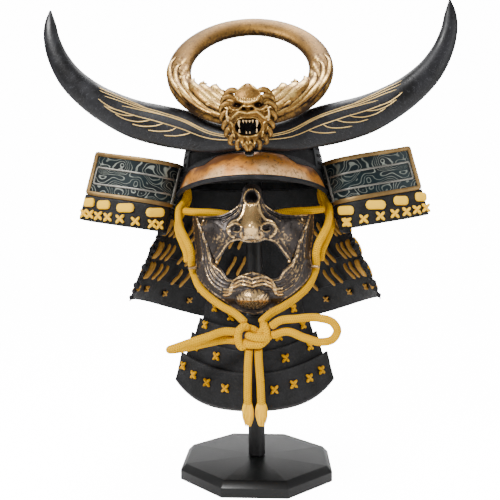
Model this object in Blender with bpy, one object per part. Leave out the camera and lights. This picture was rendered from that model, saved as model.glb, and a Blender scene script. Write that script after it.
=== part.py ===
"""Kabuto samurai helmet with face mask and throat guard, on its display stand.

Metres, +Z up. The origin is the centre of the base's underside, and the helmet faces -Y.
Everything above the base hangs from the empty "helmet", which leans a little to one side.
"""

import math

import bmesh
import bpy
import numpy as np
from mathutils import Vector

# Fits
GAP = 0.0003
HELMET_LEAN_DEG = -0.78

# Stand
BASE_ACROSS = 0.220
BASE_HEIGHT = 0.022
BASE_CHAMFER = 0.008
POST_DIAMETER = 0.025
REST_DIAMETER = 0.090
REST_DEPTH = 0.016
REST_CLEARANCE = 0.0012
ARM_WIDTH = 0.012
ARM_HEIGHT = 0.006

# Bowl and the band round its foot
BOWL_HALF_WIDTH = 0.103
BOWL_HALF_LENGTH = 0.116
BOWL_FOOT_Z = 0.428
BOWL_HEIGHT = 0.120
BOWL_WALL = 0.0025
BOWL_POWER = 2.4
BOWL_SIDES = 28
BOWL_LEVELS = 8
BAND_HEIGHT = 0.043
BAND_WALL = 0.002
BAND_CLEARANCE = 0.0005
BAND_OVERHANG = 0.002

# Peak
PEAK_HALF_WIDTH = 0.112
PEAK_REACH = 0.148
PEAK_SWEEP_DEG = 72.5
PEAK_TOP_Z = 0.4665
PEAK_EDGE_Z = 0.431
PEAK_WALL = 0.0025
PEAK_ARCH = 0.003
PEAK_SLOPE = (0.0, -0.6, 0.8)
PEAK_STATIONS = 25
PEAK_TOP_DROP = 0.034
PEAK_EDGE_DROP = 0.0243
RIM_DIAMETER = 0.0066
STUD_DIAMETER = 0.012
STUD_HEIGHT = 0.0068
STUD_DOWN = 0.0079

# Crest: horns, ring and dragon head
HORN_HALF_SPAN = 0.269
HORN_ROOT_Z = 0.482
HORN_RISE = 0.173
HORN_WIDTH = 0.054
HORN_DEPTH = 0.034
HORN_ROOT_Y = -0.1245
HORN_SET_BACK = 0.0225
HORN_RINGS = 17
HORN_SIDES = 12
RING_RADIUS = 0.0976
RING_WIDTH = 0.0337
RING_DEPTH = 0.0185
RING_LEAN_DEG = 39.5
RING_CENTRE_Y = -0.075
RING_CENTRE_Z = 0.5848
MANE_GROWTH = 0.0205
MANE_FORWARD = 0.0045
MANE_SPAN_DEG = 66.0
RING_SIDES = 10
HEAD_WIDTH = 0.062
HEAD_HEIGHT = 0.084
HEAD_TOP_Z = 0.5485
HEAD_DEPTH = 0.024
HEAD_BACK_Y = -0.1503

# Turned-back plates beside the face
PLATE_REACH = 0.125
PLATE_TOP_Z = 0.452
PLATE_OUTER_RISE = 0.025
PLATE_HEIGHT = 0.096
PLATE_FLARE = 0.025
PLATE_WALL = 0.004
PLATE_SPLIT = 0.62
PLATE_ROOT_X = 0.108
PLATE_BLEND = 0.18

# Neck guard
LAMES = 5
GUARD_TOP_Z = 0.431
GUARD_FRONT_HEIGHT = 0.170
GUARD_BACK_DROP = 0.066
GUARD_HALF_WIDTH_TOP = 0.1062
GUARD_HALF_WIDTH = 0.184
GUARD_LENGTH_TOP = 0.1192
GUARD_LENGTH = 0.192
GUARD_SWEEP_DEG = 100.0
GUARD_WALL = 0.0022
GUARD_LAP = 0.007

# Mask
MASK_SHIFT = 0.002
MASK_WALL = 0.0028
MASK_HALF_WIDTH = 0.084
MASK_CURVE_WIDTH = 0.092
MASK_CURVE_DEPTH = 0.085
MASK_CENTRE_Y = -0.045
MASK_CHIN_Z = 0.2495
MASK_HEIGHT = 0.1745
NOSE_LENGTH = 0.034
CHIN_LENGTH = 0.014
SEAM_GAP = 0.0008
PEG_DIAMETER = 0.005
PEG_LENGTH = 0.012

# Throat guard
THROAT_HALF_WIDTH = 0.1125
THROAT_TOP_Z = 0.259
THROAT_HEIGHT = 0.133
THROAT_FRONT_Y = -0.132
THROAT_SIDE_Y = -0.058
THROAT_WALL = 0.0022

# Chin cord
CORD_DIAMETER = 0.0105
KNOT_WIDTH = 0.042
KNOT_HEIGHT = 0.031
KNOT_DEPTH = 0.020
KNOT_X = 0.0025
KNOT_Y = -0.151
KNOT_Z = 0.2275
TUFT_LENGTH = 0.030
TUFT_WIDTH = 0.0135

# Horn sections: distance out, rise and half width as shares of the horn's sizes
HORN_SECTIONS = [
    # share out, share up, share of the width, share of the depth
    (0.001, 0.000, 0.48, 0.44),
    (0.186, 0.025, 0.76, 0.62),
    (0.331, 0.092, 0.98, 0.86),
    (0.454, 0.136, 1.00, 1.00),
    (0.571, 0.185, 0.95, 1.00),
    (0.680, 0.260, 0.85, 0.95),
    (0.781, 0.355, 0.74, 0.85),
    (0.872, 0.483, 0.63, 0.74),
    (0.931, 0.630, 0.51, 0.60),
    (0.961, 0.775, 0.40, 0.47),
    (0.967, 0.896, 0.28, 0.32),
    (0.965, 1.000, 0.05, 0.06),
]

# Mask outlines: station, half width and height as shares of the mask's half width and height
MOUTH_TOP = [
    # station, share out, share up
    (0.00, 0.000, 0.556),
    (0.20, 0.110, 0.560),
    (0.37, 0.214, 0.574),
    (0.52, 0.310, 0.560),
    (0.70, 0.400, 0.521),
    (0.90, 0.530, 0.440),
    (1.00, 0.583, 0.407),
]
UPPER_TOP = [
    (0.00, 0.000, 0.998),
    (0.08, 0.090, 0.988),
    (0.15, 0.143, 0.955),
    (0.21, 0.157, 0.903),
    (0.28, 0.192, 0.851),
    (0.37, 0.286, 0.811),
    (0.52, 0.452, 0.771),
    (0.70, 0.619, 0.762),
    (0.88, 0.786, 0.762),
    (1.00, 0.893, 0.765),
]
JAW_INNER = [
    (0.00, 0.000, 0.346),
    (0.11, 0.165, 0.324),
    (0.20, 0.300, 0.288),
    (0.27, 0.395, 0.292),
    (0.36, 0.478, 0.346),
    (0.46, 0.583, 0.404),
    (0.72, 0.712, 0.558),
    (1.00, 0.893, 0.765),
]
JAW_OUTER = [
    (0.00, 0.000, 0.000),
    (0.10, 0.250, 0.040),
    (0.20, 0.464, 0.112),
    (0.30, 0.661, 0.172),
    (0.42, 0.905, 0.275),
    (0.52, 0.952, 0.352),
    (0.62, 0.929, 0.433),
    (0.75, 0.952, 0.522),
    (0.88, 0.988, 0.639),
    (1.00, 1.000, 0.771),
]

# The mane: degrees from the ring's lowest point, growth as a share of the named size
MANE_INWARD = [
    (0.0, 0.62),
    (20.0, 0.66),
    (28.0, 0.72),
    (34.0, 0.62),
    (40.0, 1.00),
    (44.0, 0.85),
    (49.0, 0.26),
    (56.0, 0.48),
    (61.0, 0.05),
    (66.0, 0.00),
    (180.0, 0.00),
]
MANE_FRONT = [
    (0.0, 0.0),
    (19.0, 0.0),
    (25.0, 0.8),
    (34.0, 0.5),
    (42.0, 1.0),
    (52.0, 0.6),
    (66.0, 0.0),
    (180.0, 0.0),
]

# Dragon head: turn from its top as a share of half a circle, reach as a share of its half height
HEAD_OUTLINE = [
    (0.00, 1.00),
    (0.12, 0.84),
    (0.22, 0.70),
    (0.34, 0.66),
    (0.45, 0.72),
    (0.56, 0.74),
    (0.68, 0.78),
    (0.80, 0.80),
    (0.92, 0.92),
    (1.00, 1.02),
]

# Throat lames, top one first, as shares of the throat guard's half width and height
THROAT_LAMES = [
    # top and bottom half width, centre and side drop of the top and bottom edges, share forward
    (0.56, 0.66, 0.075, -0.20, 0.27, 0.20, -0.24),
    (0.69, 0.77, 0.20, 0.155, 0.49, 0.375, -0.158),
    (0.79, 0.88, 0.42, 0.304, 0.70, 0.59, -0.082),
    (0.92, 1.00, 0.63, 0.515, 1.00, 0.81, 0.0),
]

# Plan of a turned-back plate, as shares of its reach, from the neck guard outwards
PLATE_PLAN = [
    # station, share out, share forward
    (0.00, 0.000, 0.000),
    (0.08, -0.062, 0.100),
    (0.18, -0.052, 0.250),
    (0.30, 0.060, 0.375),
    (0.48, 0.270, 0.420),
    (0.66, 0.500, 0.395),
    (0.84, 0.735, 0.335),
    (1.00, 0.905, 0.275),
]

# Cord routes, chosen by hand in metres for the right side of the picture where one is given
CHIN_ROUTE = [
    (0.0970, -0.0340, 0.4236),
    (0.0978, -0.0370, 0.4130),
    (0.1028, -0.0440, 0.4005),
    (0.1060, -0.0535, 0.3940),
    (0.1062, -0.0610, 0.3850),
    (0.1030, -0.0720, 0.3700),
    (0.0950, -0.0840, 0.3550),
    (0.0870, -0.0915, 0.3400),
    (0.0850, -0.0910, 0.3300),
    (0.0856, -0.0850, 0.3180),
    (0.0845, -0.0820, 0.3080),
    (0.0805, -0.0860, 0.2975),
    (0.0744, -0.0960, 0.2872),
    (0.0596, -0.1086, 0.2742),
    (0.0418, -0.1212, 0.2630),
    (0.0235, -0.1340, 0.2545),
    (0.0096, -0.1478, 0.2444),
]
SIDE_ROUTE = [
    (0.0985, -0.0212, 0.4244),
    (0.0966, -0.0235, 0.4130),
    (0.1000, -0.0320, 0.3980),
    (0.1065, -0.0410, 0.3850),
    (0.1095, -0.0480, 0.3740),
    (0.1065, -0.0575, 0.3590),
    (0.0995, -0.0670, 0.3440),
    (0.0937, -0.0744, 0.3310),
    (0.0921, -0.0779, 0.3190),
]
CROSS_ROUTE = [
    (-0.0967, -0.0602, 0.3908),
    (-0.0800, -0.0705, 0.3890),
    (-0.0520, -0.0810, 0.3875),
    (-0.0250, -0.0860, 0.3835),
    (0.0000, -0.0870, 0.3795),
    (0.0250, -0.0860, 0.3835),
    (0.0520, -0.0810, 0.3875),
    (0.0800, -0.0705, 0.3890),
    (0.1008, -0.0601, 0.3908),
]
LEFT_BOW_ROUTE = [
    (-0.0170, -0.1520, 0.2330),
    (-0.0330, -0.1580, 0.2350),
    (-0.0550, -0.1620, 0.2290),
    (-0.0800, -0.1620, 0.2210),
    (-0.0970, -0.1610, 0.2150),
    (-0.1045, -0.1540, 0.2115),
    (-0.0990, -0.1450, 0.2100),
    (-0.0800, -0.1440, 0.2130),
    (-0.0550, -0.1470, 0.2190),
    (-0.0340, -0.1500, 0.2230),
    (-0.0176, -0.1510, 0.2225),
]
RIGHT_BOW_ROUTE = [
    (0.0248, -0.1540, 0.2400),
    (0.0360, -0.1580, 0.2480),
    (0.0560, -0.1620, 0.2510),
    (0.0860, -0.1640, 0.2520),
    (0.1030, -0.1630, 0.2460),
    (0.1085, -0.1620, 0.2360),
    (0.1030, -0.1610, 0.2250),
    (0.0880, -0.1590, 0.2210),
    (0.0680, -0.1570, 0.2260),
    (0.0450, -0.1550, 0.2340),
    (0.0256, -0.1520, 0.2285),
]
LEFT_TAIL_ROUTE = [
    (-0.0030, -0.1510, 0.2115),
    (-0.0045, -0.1480, 0.1950),
    (-0.0055, -0.1465, 0.1700),
    (-0.0060, -0.1460, 0.1380),
]
RIGHT_TAIL_ROUTE = [
    (0.0085, -0.1510, 0.2115),
    (0.0090, -0.1480, 0.1950),
    (0.0105, -0.1465, 0.1700),
    (0.0115, -0.1460, 0.1380),
]


def clear_scene():
    for obj in list(bpy.data.objects):
        bpy.data.objects.remove(obj, do_unlink=True)


def material(name, colour, roughness, metallic=0.0):
    made = bpy.data.materials.get(name)
    if made is None:
        made = bpy.data.materials.new(name)
        made.use_nodes = True
        shader = made.node_tree.nodes["Principled BSDF"]
        shader.inputs["Base Color"].default_value = (*colour, 1.0)
        shader.inputs["Roughness"].default_value = roughness
        shader.inputs["Metallic"].default_value = metallic
    return made


def black_leather():
    return material("black leather", (0.020, 0.019, 0.021), 0.62)


def black_metal():
    return material("black metal", (0.012, 0.012, 0.014), 0.35, 0.6)


def aged_gold():
    return material("aged gold", (0.46, 0.30, 0.12), 0.42, 0.85)


def gunmetal():
    return material("worn gunmetal", (0.16, 0.13, 0.11), 0.38, 0.9)


def yellow_cord():
    return material("yellow cord", (0.86, 0.50, 0.09), 0.85)


def smooth(table, where):
    """Reads a smooth curve through a table whose first column is the station."""
    rows = np.array(table, float)
    stations = rows[:, 0]
    slopes = np.gradient(rows, stations, axis=0)
    where = np.clip(np.asarray(where, float), stations[0], stations[-1])
    left = np.clip(np.searchsorted(stations, where, side="right") - 1, 0, len(rows) - 2)
    span = stations[left + 1] - stations[left]
    t = ((where - stations[left]) / span)[..., None]
    span = span[..., None]
    start = rows[left] * (1 + 2 * t) * (1 - t) ** 2 + slopes[left] * span * t * (1 - t) ** 2
    end = rows[left + 1] * t * t * (3 - 2 * t) + slopes[left + 1] * span * t * t * (t - 1)
    return (start + end)[..., 1:]


def grid_quads(rows, columns, wrap=False):
    """Index quads of a grid that is stored row by row; wrap joins the last column to the first."""
    index = np.arange(rows * columns).reshape(rows, columns)
    if wrap:
        index = np.concatenate([index, index[:, :1]], axis=1)
    corners = [index[:-1, :-1], index[:-1, 1:], index[1:, 1:], index[1:, :-1]]
    return np.stack(corners, -1).reshape(-1, 4).tolist()


def finish_mesh(name, points, faces, finish, parent, sharp_deg=35.0):
    """Makes the object, turns its faces outwards and shades it smooth between sharp edges."""
    mesh = bpy.data.meshes.new(name)
    mesh.from_pydata([tuple(p) for p in np.asarray(points).reshape(-1, 3)], [], faces)
    work = bmesh.new()
    work.from_mesh(mesh)
    bmesh.ops.remove_doubles(work, verts=work.verts, dist=1e-6)
    bmesh.ops.recalc_face_normals(work, faces=work.faces)
    if work.calc_volume(signed=True) < 0:
        bmesh.ops.reverse_faces(work, faces=work.faces)
    work.to_mesh(mesh)
    work.free()
    mesh.shade_smooth()
    mesh.set_sharp_from_angle(angle=math.radians(sharp_deg))
    mesh.materials.append(finish)
    obj = bpy.data.objects.new(name, mesh)
    bpy.context.scene.collection.objects.link(obj)
    obj.parent = parent
    return obj


def wall(name, front, back, finish, parent, closed=False):
    """A wall between two grids of the same shape. A closed wall's last column meets its first."""
    rows, columns = front.shape[:2]
    count = rows * columns
    points = np.concatenate([front.reshape(-1, 3), back.reshape(-1, 3)])
    faces = grid_quads(rows, columns, closed)
    faces += [[i + count for i in reversed(quad)] for quad in faces]
    index = np.arange(count).reshape(rows, columns)
    edges = [index[0], index[-1]]
    if closed:
        edges = [np.append(edge, edge[0]) for edge in edges]
    else:
        edges += [index[:, 0], index[:, -1]]
    for edge in edges:
        faces += [[a, b, b + count, a + count] for a, b in zip(edge[:-1].tolist(), edge[1:].tolist())]
    return finish_mesh(name, points, faces, finish, parent)


def normals_of(grid):
    """Unit normals of a grid, by the cross product of its two directions."""
    down = np.gradient(grid, axis=0)
    along = np.gradient(grid, axis=1)
    normal = np.cross(along, down)
    return normal / np.maximum(np.linalg.norm(normal, axis=-1, keepdims=True), 1e-12)


def tube(name, rings, finish, parent, round_trip=False):
    """A skin over rings of points, either joined end to end or closed with flat ends."""
    rows, columns = rings.shape[:2]
    faces = grid_quads(rows, columns, True)
    last = (rows - 1) * columns
    if round_trip:
        for i in range(columns):
            j = (i + 1) % columns
            faces.append([last + i, last + j, j, i])
    else:
        faces.append(list(range(columns)))
        faces.append(list(range(last + columns - 1, last - 1, -1)))
    return finish_mesh(name, rings, faces, finish, parent)


def mirrored(grid):
    return grid * np.array([-1.0, 1.0, 1.0])


# Stand


def make_base():
    apothem = BASE_ACROSS / 2
    turn = np.radians(22.5 + 45.0 * np.arange(8))
    ring = np.stack([np.cos(turn), np.sin(turn), 0 * turn], -1) / math.cos(math.radians(22.5))
    levels = [(apothem, 0.0), (apothem, BASE_HEIGHT - BASE_CHAMFER), (apothem - BASE_CHAMFER, BASE_HEIGHT)]
    rings = np.stack([ring * size + np.array([0, 0, z]) for size, z in levels])
    return tube("stand_base", rings, black_metal(), None)


def turned(name, profile, sides, finish, parent):
    """A solid of revolution about Z from (radius, height) pairs."""
    turn = np.linspace(0, 2 * np.pi, sides, endpoint=False)
    rings = np.stack([
        np.stack([r * np.cos(turn), r * np.sin(turn), z + 0 * turn], -1) for r, z in profile
    ])
    return tube(name, rings, finish, parent)


def bowl_scale(height):
    """Share of the foot's plan that the bowl keeps at this height above its foot."""
    share = np.clip(np.asarray(height, float) / BOWL_HEIGHT, 0.0, 1.0)
    return (1 - share**BOWL_POWER) ** (1 / BOWL_POWER)


def bowl_height_at(radius_share):
    return BOWL_HEIGHT * (1 - radius_share**BOWL_POWER) ** (1 / BOWL_POWER)


def rest_underside_z():
    edge = REST_DIAMETER / 2 / BOWL_HALF_WIDTH
    return BOWL_FOOT_Z + float(bowl_height_at(edge)) - BOWL_WALL - REST_DEPTH


def make_post(parent):
    radius = POST_DIAMETER / 2
    foot = BASE_HEIGHT + GAP + radius * math.sin(math.radians(abs(HELMET_LEAN_DEG)))
    return turned("post", [(radius, foot), (radius, rest_underside_z() - GAP)], 20, black_metal(), parent)


def make_rest(parent):
    """The pad that carries the bowl: its top follows the bowl's inside."""
    sides = 20
    turn = np.linspace(0, 2 * np.pi, sides, endpoint=False)
    rings = [np.stack([REST_DIAMETER / 2 * np.cos(turn), REST_DIAMETER / 2 * np.sin(turn),
                       rest_underside_z() + 0 * turn], -1)]
    for share in (1.0, 0.75, 0.45, 0.12):
        x = REST_DIAMETER / 2 * share * np.cos(turn)
        y = REST_DIAMETER / 2 * share * np.sin(turn)
        plan = np.hypot(x / (BOWL_HALF_WIDTH - BOWL_WALL), y / (BOWL_HALF_LENGTH - BOWL_WALL))
        inner = (BOWL_HEIGHT - BOWL_WALL) * (1 - plan**BOWL_POWER) ** (1 / BOWL_POWER)
        rings.append(np.stack([x, y, BOWL_FOOT_Z + inner - REST_CLEARANCE], -1))
    return tube("helmet_rest", np.stack(rings), black_metal(), parent)


# Bowl, band and peak


def bowl_climb(levels):
    """Angles of the bowl's rings: three across the band, the rest up to the crown."""
    band = np.array([0.0, 0.5, 1.0]) * BAND_HEIGHT / BOWL_HEIGHT
    low = np.arcsin(band ** (BOWL_POWER / 2))
    return np.concatenate([low, np.linspace(low[-1], np.pi / 2 * 0.96, levels - 2)[1:]])


def bowl_shell(offset, count, climb):
    """Rings of the bowl moved in by an offset, one for each climb angle from the foot up."""
    turn = np.linspace(0, 2 * np.pi, count, endpoint=False)
    plan = np.cos(climb) ** (2 / BOWL_POWER)
    height = np.sin(climb) ** (2 / BOWL_POWER)
    x = (BOWL_HALF_WIDTH - offset) * plan[:, None] * np.sin(turn)
    y = -(BOWL_HALF_LENGTH - offset) * plan[:, None] * np.cos(turn)
    z = BOWL_FOOT_Z + (BOWL_HEIGHT - offset) * height[:, None] + 0 * turn
    return np.stack([x, y, z], -1)


def make_bowl(parent):
    """The bowl is open below; both its skins close over the crown."""
    count, levels = BOWL_SIDES, BOWL_LEVELS
    climb = bowl_climb(levels)
    outer = bowl_shell(0.0, count, climb)
    inner = bowl_shell(BOWL_WALL, count, climb)
    size = count * levels
    faces = grid_quads(levels, count, True)
    faces += [[i + size for i in reversed(quad)] for quad in faces]
    faces += [[i, (i + 1) % count, size + (i + 1) % count, size + i] for i in range(count)]
    top = size - count
    faces.append([top + i for i in range(count)])
    faces.append([size + top + i for i in reversed(range(count))])
    points = np.concatenate([outer.reshape(-1, 3), inner.reshape(-1, 3)])
    return finish_mesh("bowl", points, faces, black_metal(), parent)


def make_band(parent):
    climb = bowl_climb(BOWL_LEVELS)[:3]
    outer = bowl_shell(-BAND_CLEARANCE - BAND_WALL, BOWL_SIDES, climb)
    inner = bowl_shell(-BAND_CLEARANCE, BOWL_SIDES, climb)
    lower = np.array([0.0, 0.0, BAND_OVERHANG])
    outer[0] -= lower
    inner[0] -= lower
    return wall("brow_band", outer, inner, black_leather(), parent, closed=True)


def peak_edge(turn):
    """The peak's front edge: an arc in plan that dips towards its ends."""
    return np.stack([
        PEAK_HALF_WIDTH * np.sin(turn),
        -PEAK_REACH * np.cos(turn),
        PEAK_EDGE_Z - PEAK_EDGE_DROP * (1 - np.cos(turn)),
    ], -1)


def peak_top(turn):
    """The peak's upper edge, on the band."""
    off = BAND_CLEARANCE + BAND_WALL + 2 * GAP
    z = PEAK_TOP_Z - PEAK_TOP_DROP * (1 - np.cos(turn))
    scale = bowl_scale(z - BOWL_FOOT_Z)
    turn = turn * 0.985
    return np.stack([
        (BOWL_HALF_WIDTH * scale + off) * np.sin(turn),
        -(BOWL_HALF_LENGTH * scale + off) * np.cos(turn),
        z,
    ], -1)


def make_peak(parent):
    sweep = math.radians(PEAK_SWEEP_DEG)
    turn = np.linspace(-sweep, sweep, PEAK_STATIONS)
    edge, top = peak_edge(turn), peak_top(turn)
    reach = np.linalg.norm(edge - top, axis=-1, keepdims=True)
    edge = edge - (edge - top) / reach * (RIM_DIAMETER / 2 + 2 * GAP)
    share = np.array([0.0, 0.35, 0.7, 1.0])[:, None, None]
    arch = PEAK_ARCH * np.sin(np.pi * share)
    front = top + (edge - top) * share + arch * np.array(PEAK_SLOPE)
    normal = normals_of(front)
    back = front - normal * PEAK_WALL * np.sign((normal * np.array(PEAK_SLOPE)).sum(-1, keepdims=True))
    back[0] = front[0] - np.array([0, 0, PEAK_WALL * 1.3])
    return wall("peak", front, back, material("aged copper", (0.50, 0.27, 0.12), 0.4, 0.7), parent)


def swept(path, half_width, half_depth, side, power=1.0, count=12):
    """Rings along a path. Each ring spans its half width along side and its half depth across it."""
    tangent = np.gradient(path, axis=0)
    tangent /= np.linalg.norm(tangent, axis=-1, keepdims=True)
    across = np.cross(tangent, side)
    across /= np.linalg.norm(across, axis=-1, keepdims=True)
    along = np.cross(across, tangent)
    turn = np.linspace(0, 2 * np.pi, count, endpoint=False)
    cos = np.sign(np.cos(turn)) * np.abs(np.cos(turn)) ** power
    sin = np.sign(np.sin(turn)) * np.abs(np.sin(turn)) ** power
    half_width = np.broadcast_to(half_width, len(path))
    half_depth = np.broadcast_to(half_depth, len(path))
    return (path[:, None]
            + across[:, None] * (half_width[:, None] * cos)[..., None]
            + along[:, None] * (half_depth[:, None] * sin)[..., None])


def make_peak_rim(parent):
    sweep = math.radians(PEAK_SWEEP_DEG)
    path = peak_edge(np.linspace(-sweep, sweep, PEAK_STATIONS))
    rings = swept(path, RIM_DIAMETER / 2, RIM_DIAMETER / 2, np.array([0.0, 0.0, 1.0]), count=8)
    return tube("peak_rim", rings, black_leather(), parent)


def make_stud(parent):
    """A low round rivet on the peak, under the crest."""
    edge, top = peak_edge(np.array(0.0)), peak_top(np.array(0.0))
    reach = Vector(edge - top)
    slope = reach.normalized()
    arch = PEAK_ARCH * math.sin(math.pi * STUD_DOWN / reach.length)
    face = Vector((0.0, slope.z, -slope.y))
    mesh = bpy.data.meshes.new("crest_stud")
    work = bmesh.new()
    bmesh.ops.create_uvsphere(work, u_segments=12, v_segments=6, radius=STUD_DIAMETER / 2)
    bmesh.ops.scale(work, verts=work.verts, vec=(1.0, 1.0, STUD_HEIGHT / STUD_DIAMETER))
    work.to_mesh(mesh)
    work.free()
    mesh.shade_smooth()
    mesh.materials.append(black_metal())
    stud = bpy.data.objects.new("crest_stud", mesh)
    bpy.context.scene.collection.objects.link(stud)
    stud.parent = parent
    stud.rotation_euler = face.to_track_quat("Z", "Y").to_euler()
    stud.location = Vector(top) + slope * STUD_DOWN + face * (arch + STUD_HEIGHT / 2 + GAP)
    return stud


# Crest


def horn_rings(side):
    """Oval sections along the horn, from behind the dragon head out and up to the tip."""
    rows = np.array(HORN_SECTIONS)
    station = np.linspace(0, 1, len(rows))
    fine = smooth(np.column_stack([station, rows]), np.linspace(0, 1, HORN_RINGS))
    out, up, width, depth = fine.T
    x = HORN_HALF_SPAN * out
    y = HORN_ROOT_Y + HORN_SET_BACK * np.sin(np.pi * np.clip(out, 0, 0.98))
    z = HORN_ROOT_Z + HORN_RISE * up
    path = np.stack([x, y, z], -1)
    rings = swept(path, width * HORN_WIDTH / 2, depth * HORN_DEPTH / 2, np.array([0.0, 1.0, 0.0]),
                  power=0.9, count=HORN_SIDES)
    rings[0, :, 0] = GAP / 2
    return rings * np.array([side, 1.0, 1.0])


def make_horns(parent):
    finish = material("horn", (0.030, 0.030, 0.034), 0.42)
    return [tube(f"horn_{name}", horn_rings(side), finish, parent)
            for name, side in (("left", -1.0), ("right", 1.0))]


def ring_point(turn, outward, forward):
    """A point beside the ring's centre line; turn is measured from the ring's lowest point."""
    lean = math.radians(RING_LEAN_DEG)
    up = np.array([0.0, math.sin(lean), math.cos(lean)])
    face = np.array([0.0, -math.cos(lean), math.sin(lean)])
    centre = np.array([0.0, RING_CENTRE_Y, RING_CENTRE_Z])
    radial = np.sin(turn)[..., None] * np.array([1.0, 0, 0]) - np.cos(turn)[..., None] * up
    return centre + (RING_RADIUS + outward)[..., None] * radial + forward[..., None] * face


def mane_growth(turn, table):
    """Reads a mane table at a turn in radians from the ring's lowest point, the same on both sides."""
    away = np.abs((turn + np.pi) % (2 * np.pi) - np.pi)
    return np.clip(smooth(table, np.degrees(away))[..., 0], 0, None)


def make_ring(parent):
    """The oval ring, whose lower part swells inwards and forwards into a carved mane."""
    span = math.radians(MANE_SPAN_DEG)
    low = np.linspace(-span, span, 31)
    high = np.linspace(span, 2 * np.pi - span, 21)
    turn = np.concatenate([low, high[1:-1]])[:, None]
    section = np.linspace(0, 2 * np.pi, RING_SIDES, endpoint=False)[None, :]
    inward = MANE_GROWTH * mane_growth(turn, MANE_INWARD) * np.clip(-np.cos(section), 0, 1)
    front = MANE_FORWARD * mane_growth(turn, MANE_FRONT) * np.clip(np.sin(section), 0, 1)
    outward = RING_WIDTH / 2 * np.cos(section) - inward
    forward = RING_DEPTH / 2 * np.sin(section) + front
    rings = ring_point(turn + 0 * section, outward, forward)
    return tube("crest_ring", rings, aged_gold(), parent, round_trip=True)


def bump(x, z, centre_x, centre_z, width, height):
    """A smooth round hill, 1 at its centre."""
    return np.exp(-((x - centre_x) / width) ** 2 - ((z - centre_z) / height) ** 2)


def head_relief(x, z):
    """Forward relief of the dragon head over its back plate, as a share of the head's depth."""
    u = np.abs(x) / (HEAD_WIDTH / 2)
    v = (z - (HEAD_TOP_Z - HEAD_HEIGHT)) / HEAD_HEIGHT
    shape = 0.62 + 0 * u
    shape = shape + 0.30 * bump(u, v, 0.0, 0.72, 0.42, 0.16)
    shape = shape + 0.42 * bump(u, v, 0.0, 0.57, 0.55, 0.07)
    shape = shape - 0.42 * bump(u, v, 0.58, 0.66, 0.20, 0.05)
    shape = shape - 0.75 * bump(u, v, 0.0, 0.36, 0.36, 0.11)
    shape = shape + 0.30 * bump(u, v, 0.0, 0.13, 0.40, 0.08)
    shape = shape + 0.20 * bump(u, v, 0.66, 0.40, 0.16, 0.20)
    return shape


def make_dragon_head(parent):
    """A relief head: an outline of spokes from its middle, raised in front of a stepped back."""
    turn = np.linspace(-np.pi, np.pi, 28, endpoint=False)
    reach = smooth(HEAD_OUTLINE, np.abs(turn) / np.pi)[:, 0] * HEAD_HEIGHT / 2
    middle = HEAD_TOP_Z - HEAD_HEIGHT / 2
    share = np.array([0.12, 0.30, 0.50, 0.68, 0.85, 1.0])[:, None]
    x = share * reach * np.sin(turn)
    z = middle + share * reach * np.cos(turn)
    fade = 1 - 0.45 * share**3
    rise = head_relief(x, z) * fade
    back = HEAD_BACK_Y + 0 * x
    front = back - HEAD_DEPTH * rise
    front_grid = np.stack([x, front, z], -1)
    low = np.clip((RING_CENTRE_Z - (RING_RADIUS + RING_WIDTH / 2 + 0.004) * 0.8 - z) / 0.004, 0, 1)
    back = back + low * (HORN_ROOT_Y - HORN_DEPTH * HORN_SECTIONS[0][3] / 2 - 2 * GAP - HEAD_BACK_Y)
    back_grid = np.stack([x, back, z], -1)
    count = len(turn)
    size = front_grid.shape[0] * count
    faces = grid_quads(front_grid.shape[0], count, True)
    faces += [[i + size for i in reversed(quad)] for quad in faces]
    rim = size - count
    faces += [[rim + i, rim + (i + 1) % count, size + rim + (i + 1) % count, size + rim + i]
              for i in range(count)]
    faces.append(list(range(count)))
    faces.append([size + i for i in reversed(range(count))])
    points = np.concatenate([front_grid.reshape(-1, 3), back_grid.reshape(-1, 3)])
    return finish_mesh("dragon_head", points, faces, aged_gold(), parent)


# Turned-back plates


def plate_point(station, drop):
    """A turned-back plate's outer face: its plan, moved outwards and down by the drop share."""
    plan = smooth(PLATE_PLAN, station)
    level = (GUARD_TOP_Z - PLATE_TOP_Z + PLATE_HEIGHT * drop) / GUARD_FRONT_HEIGHT
    root = guard_edge(np.clip(level, 0, 1), math.radians(GUARD_SWEEP_DEG), 2 * GUARD_WALL + 3 * GAP)
    near = np.clip(1 - station / PLATE_BLEND, 0, 1)
    x = PLATE_ROOT_X + PLATE_FLARE * drop
    x = x + near * np.maximum(root[..., 0] - x, 0) + PLATE_REACH * plan[..., 0]
    y = root[..., 1] - 2 * GAP - PLATE_REACH * plan[..., 1]
    z = PLATE_TOP_Z + PLATE_OUTER_RISE * station - PLATE_HEIGHT * drop
    return np.stack([x, y, z], -1)


def make_plate(name, side, low, high, rows, wall_size, finish, parent):
    station, drop = np.meshgrid(np.linspace(0, 1, 15), np.linspace(low, high, rows))
    front = plate_point(station, drop)
    normal = normals_of(front)
    facing = np.sign(normal[rows // 2, 10, 1])
    back = front + normal * facing * wall_size
    if side < 0:
        front, back = mirrored(front), mirrored(back)
    return wall(name, front, back, finish, parent)


def make_plates(parent):
    panel = material("engraved plate", (0.030, 0.055, 0.060), 0.4, 0.5)
    split = GAP * 2 / PLATE_HEIGHT
    for name, side in (("left", -1.0), ("right", 1.0)):
        make_plate(f"turned_plate_{name}", side, 0.0, PLATE_SPLIT, 4, PLATE_WALL, panel, parent)
        make_plate(f"turned_strip_{name}", side, PLATE_SPLIT + split, 1.0, 3, PLATE_WALL,
                   black_leather(), parent)


# Neck guard


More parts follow.
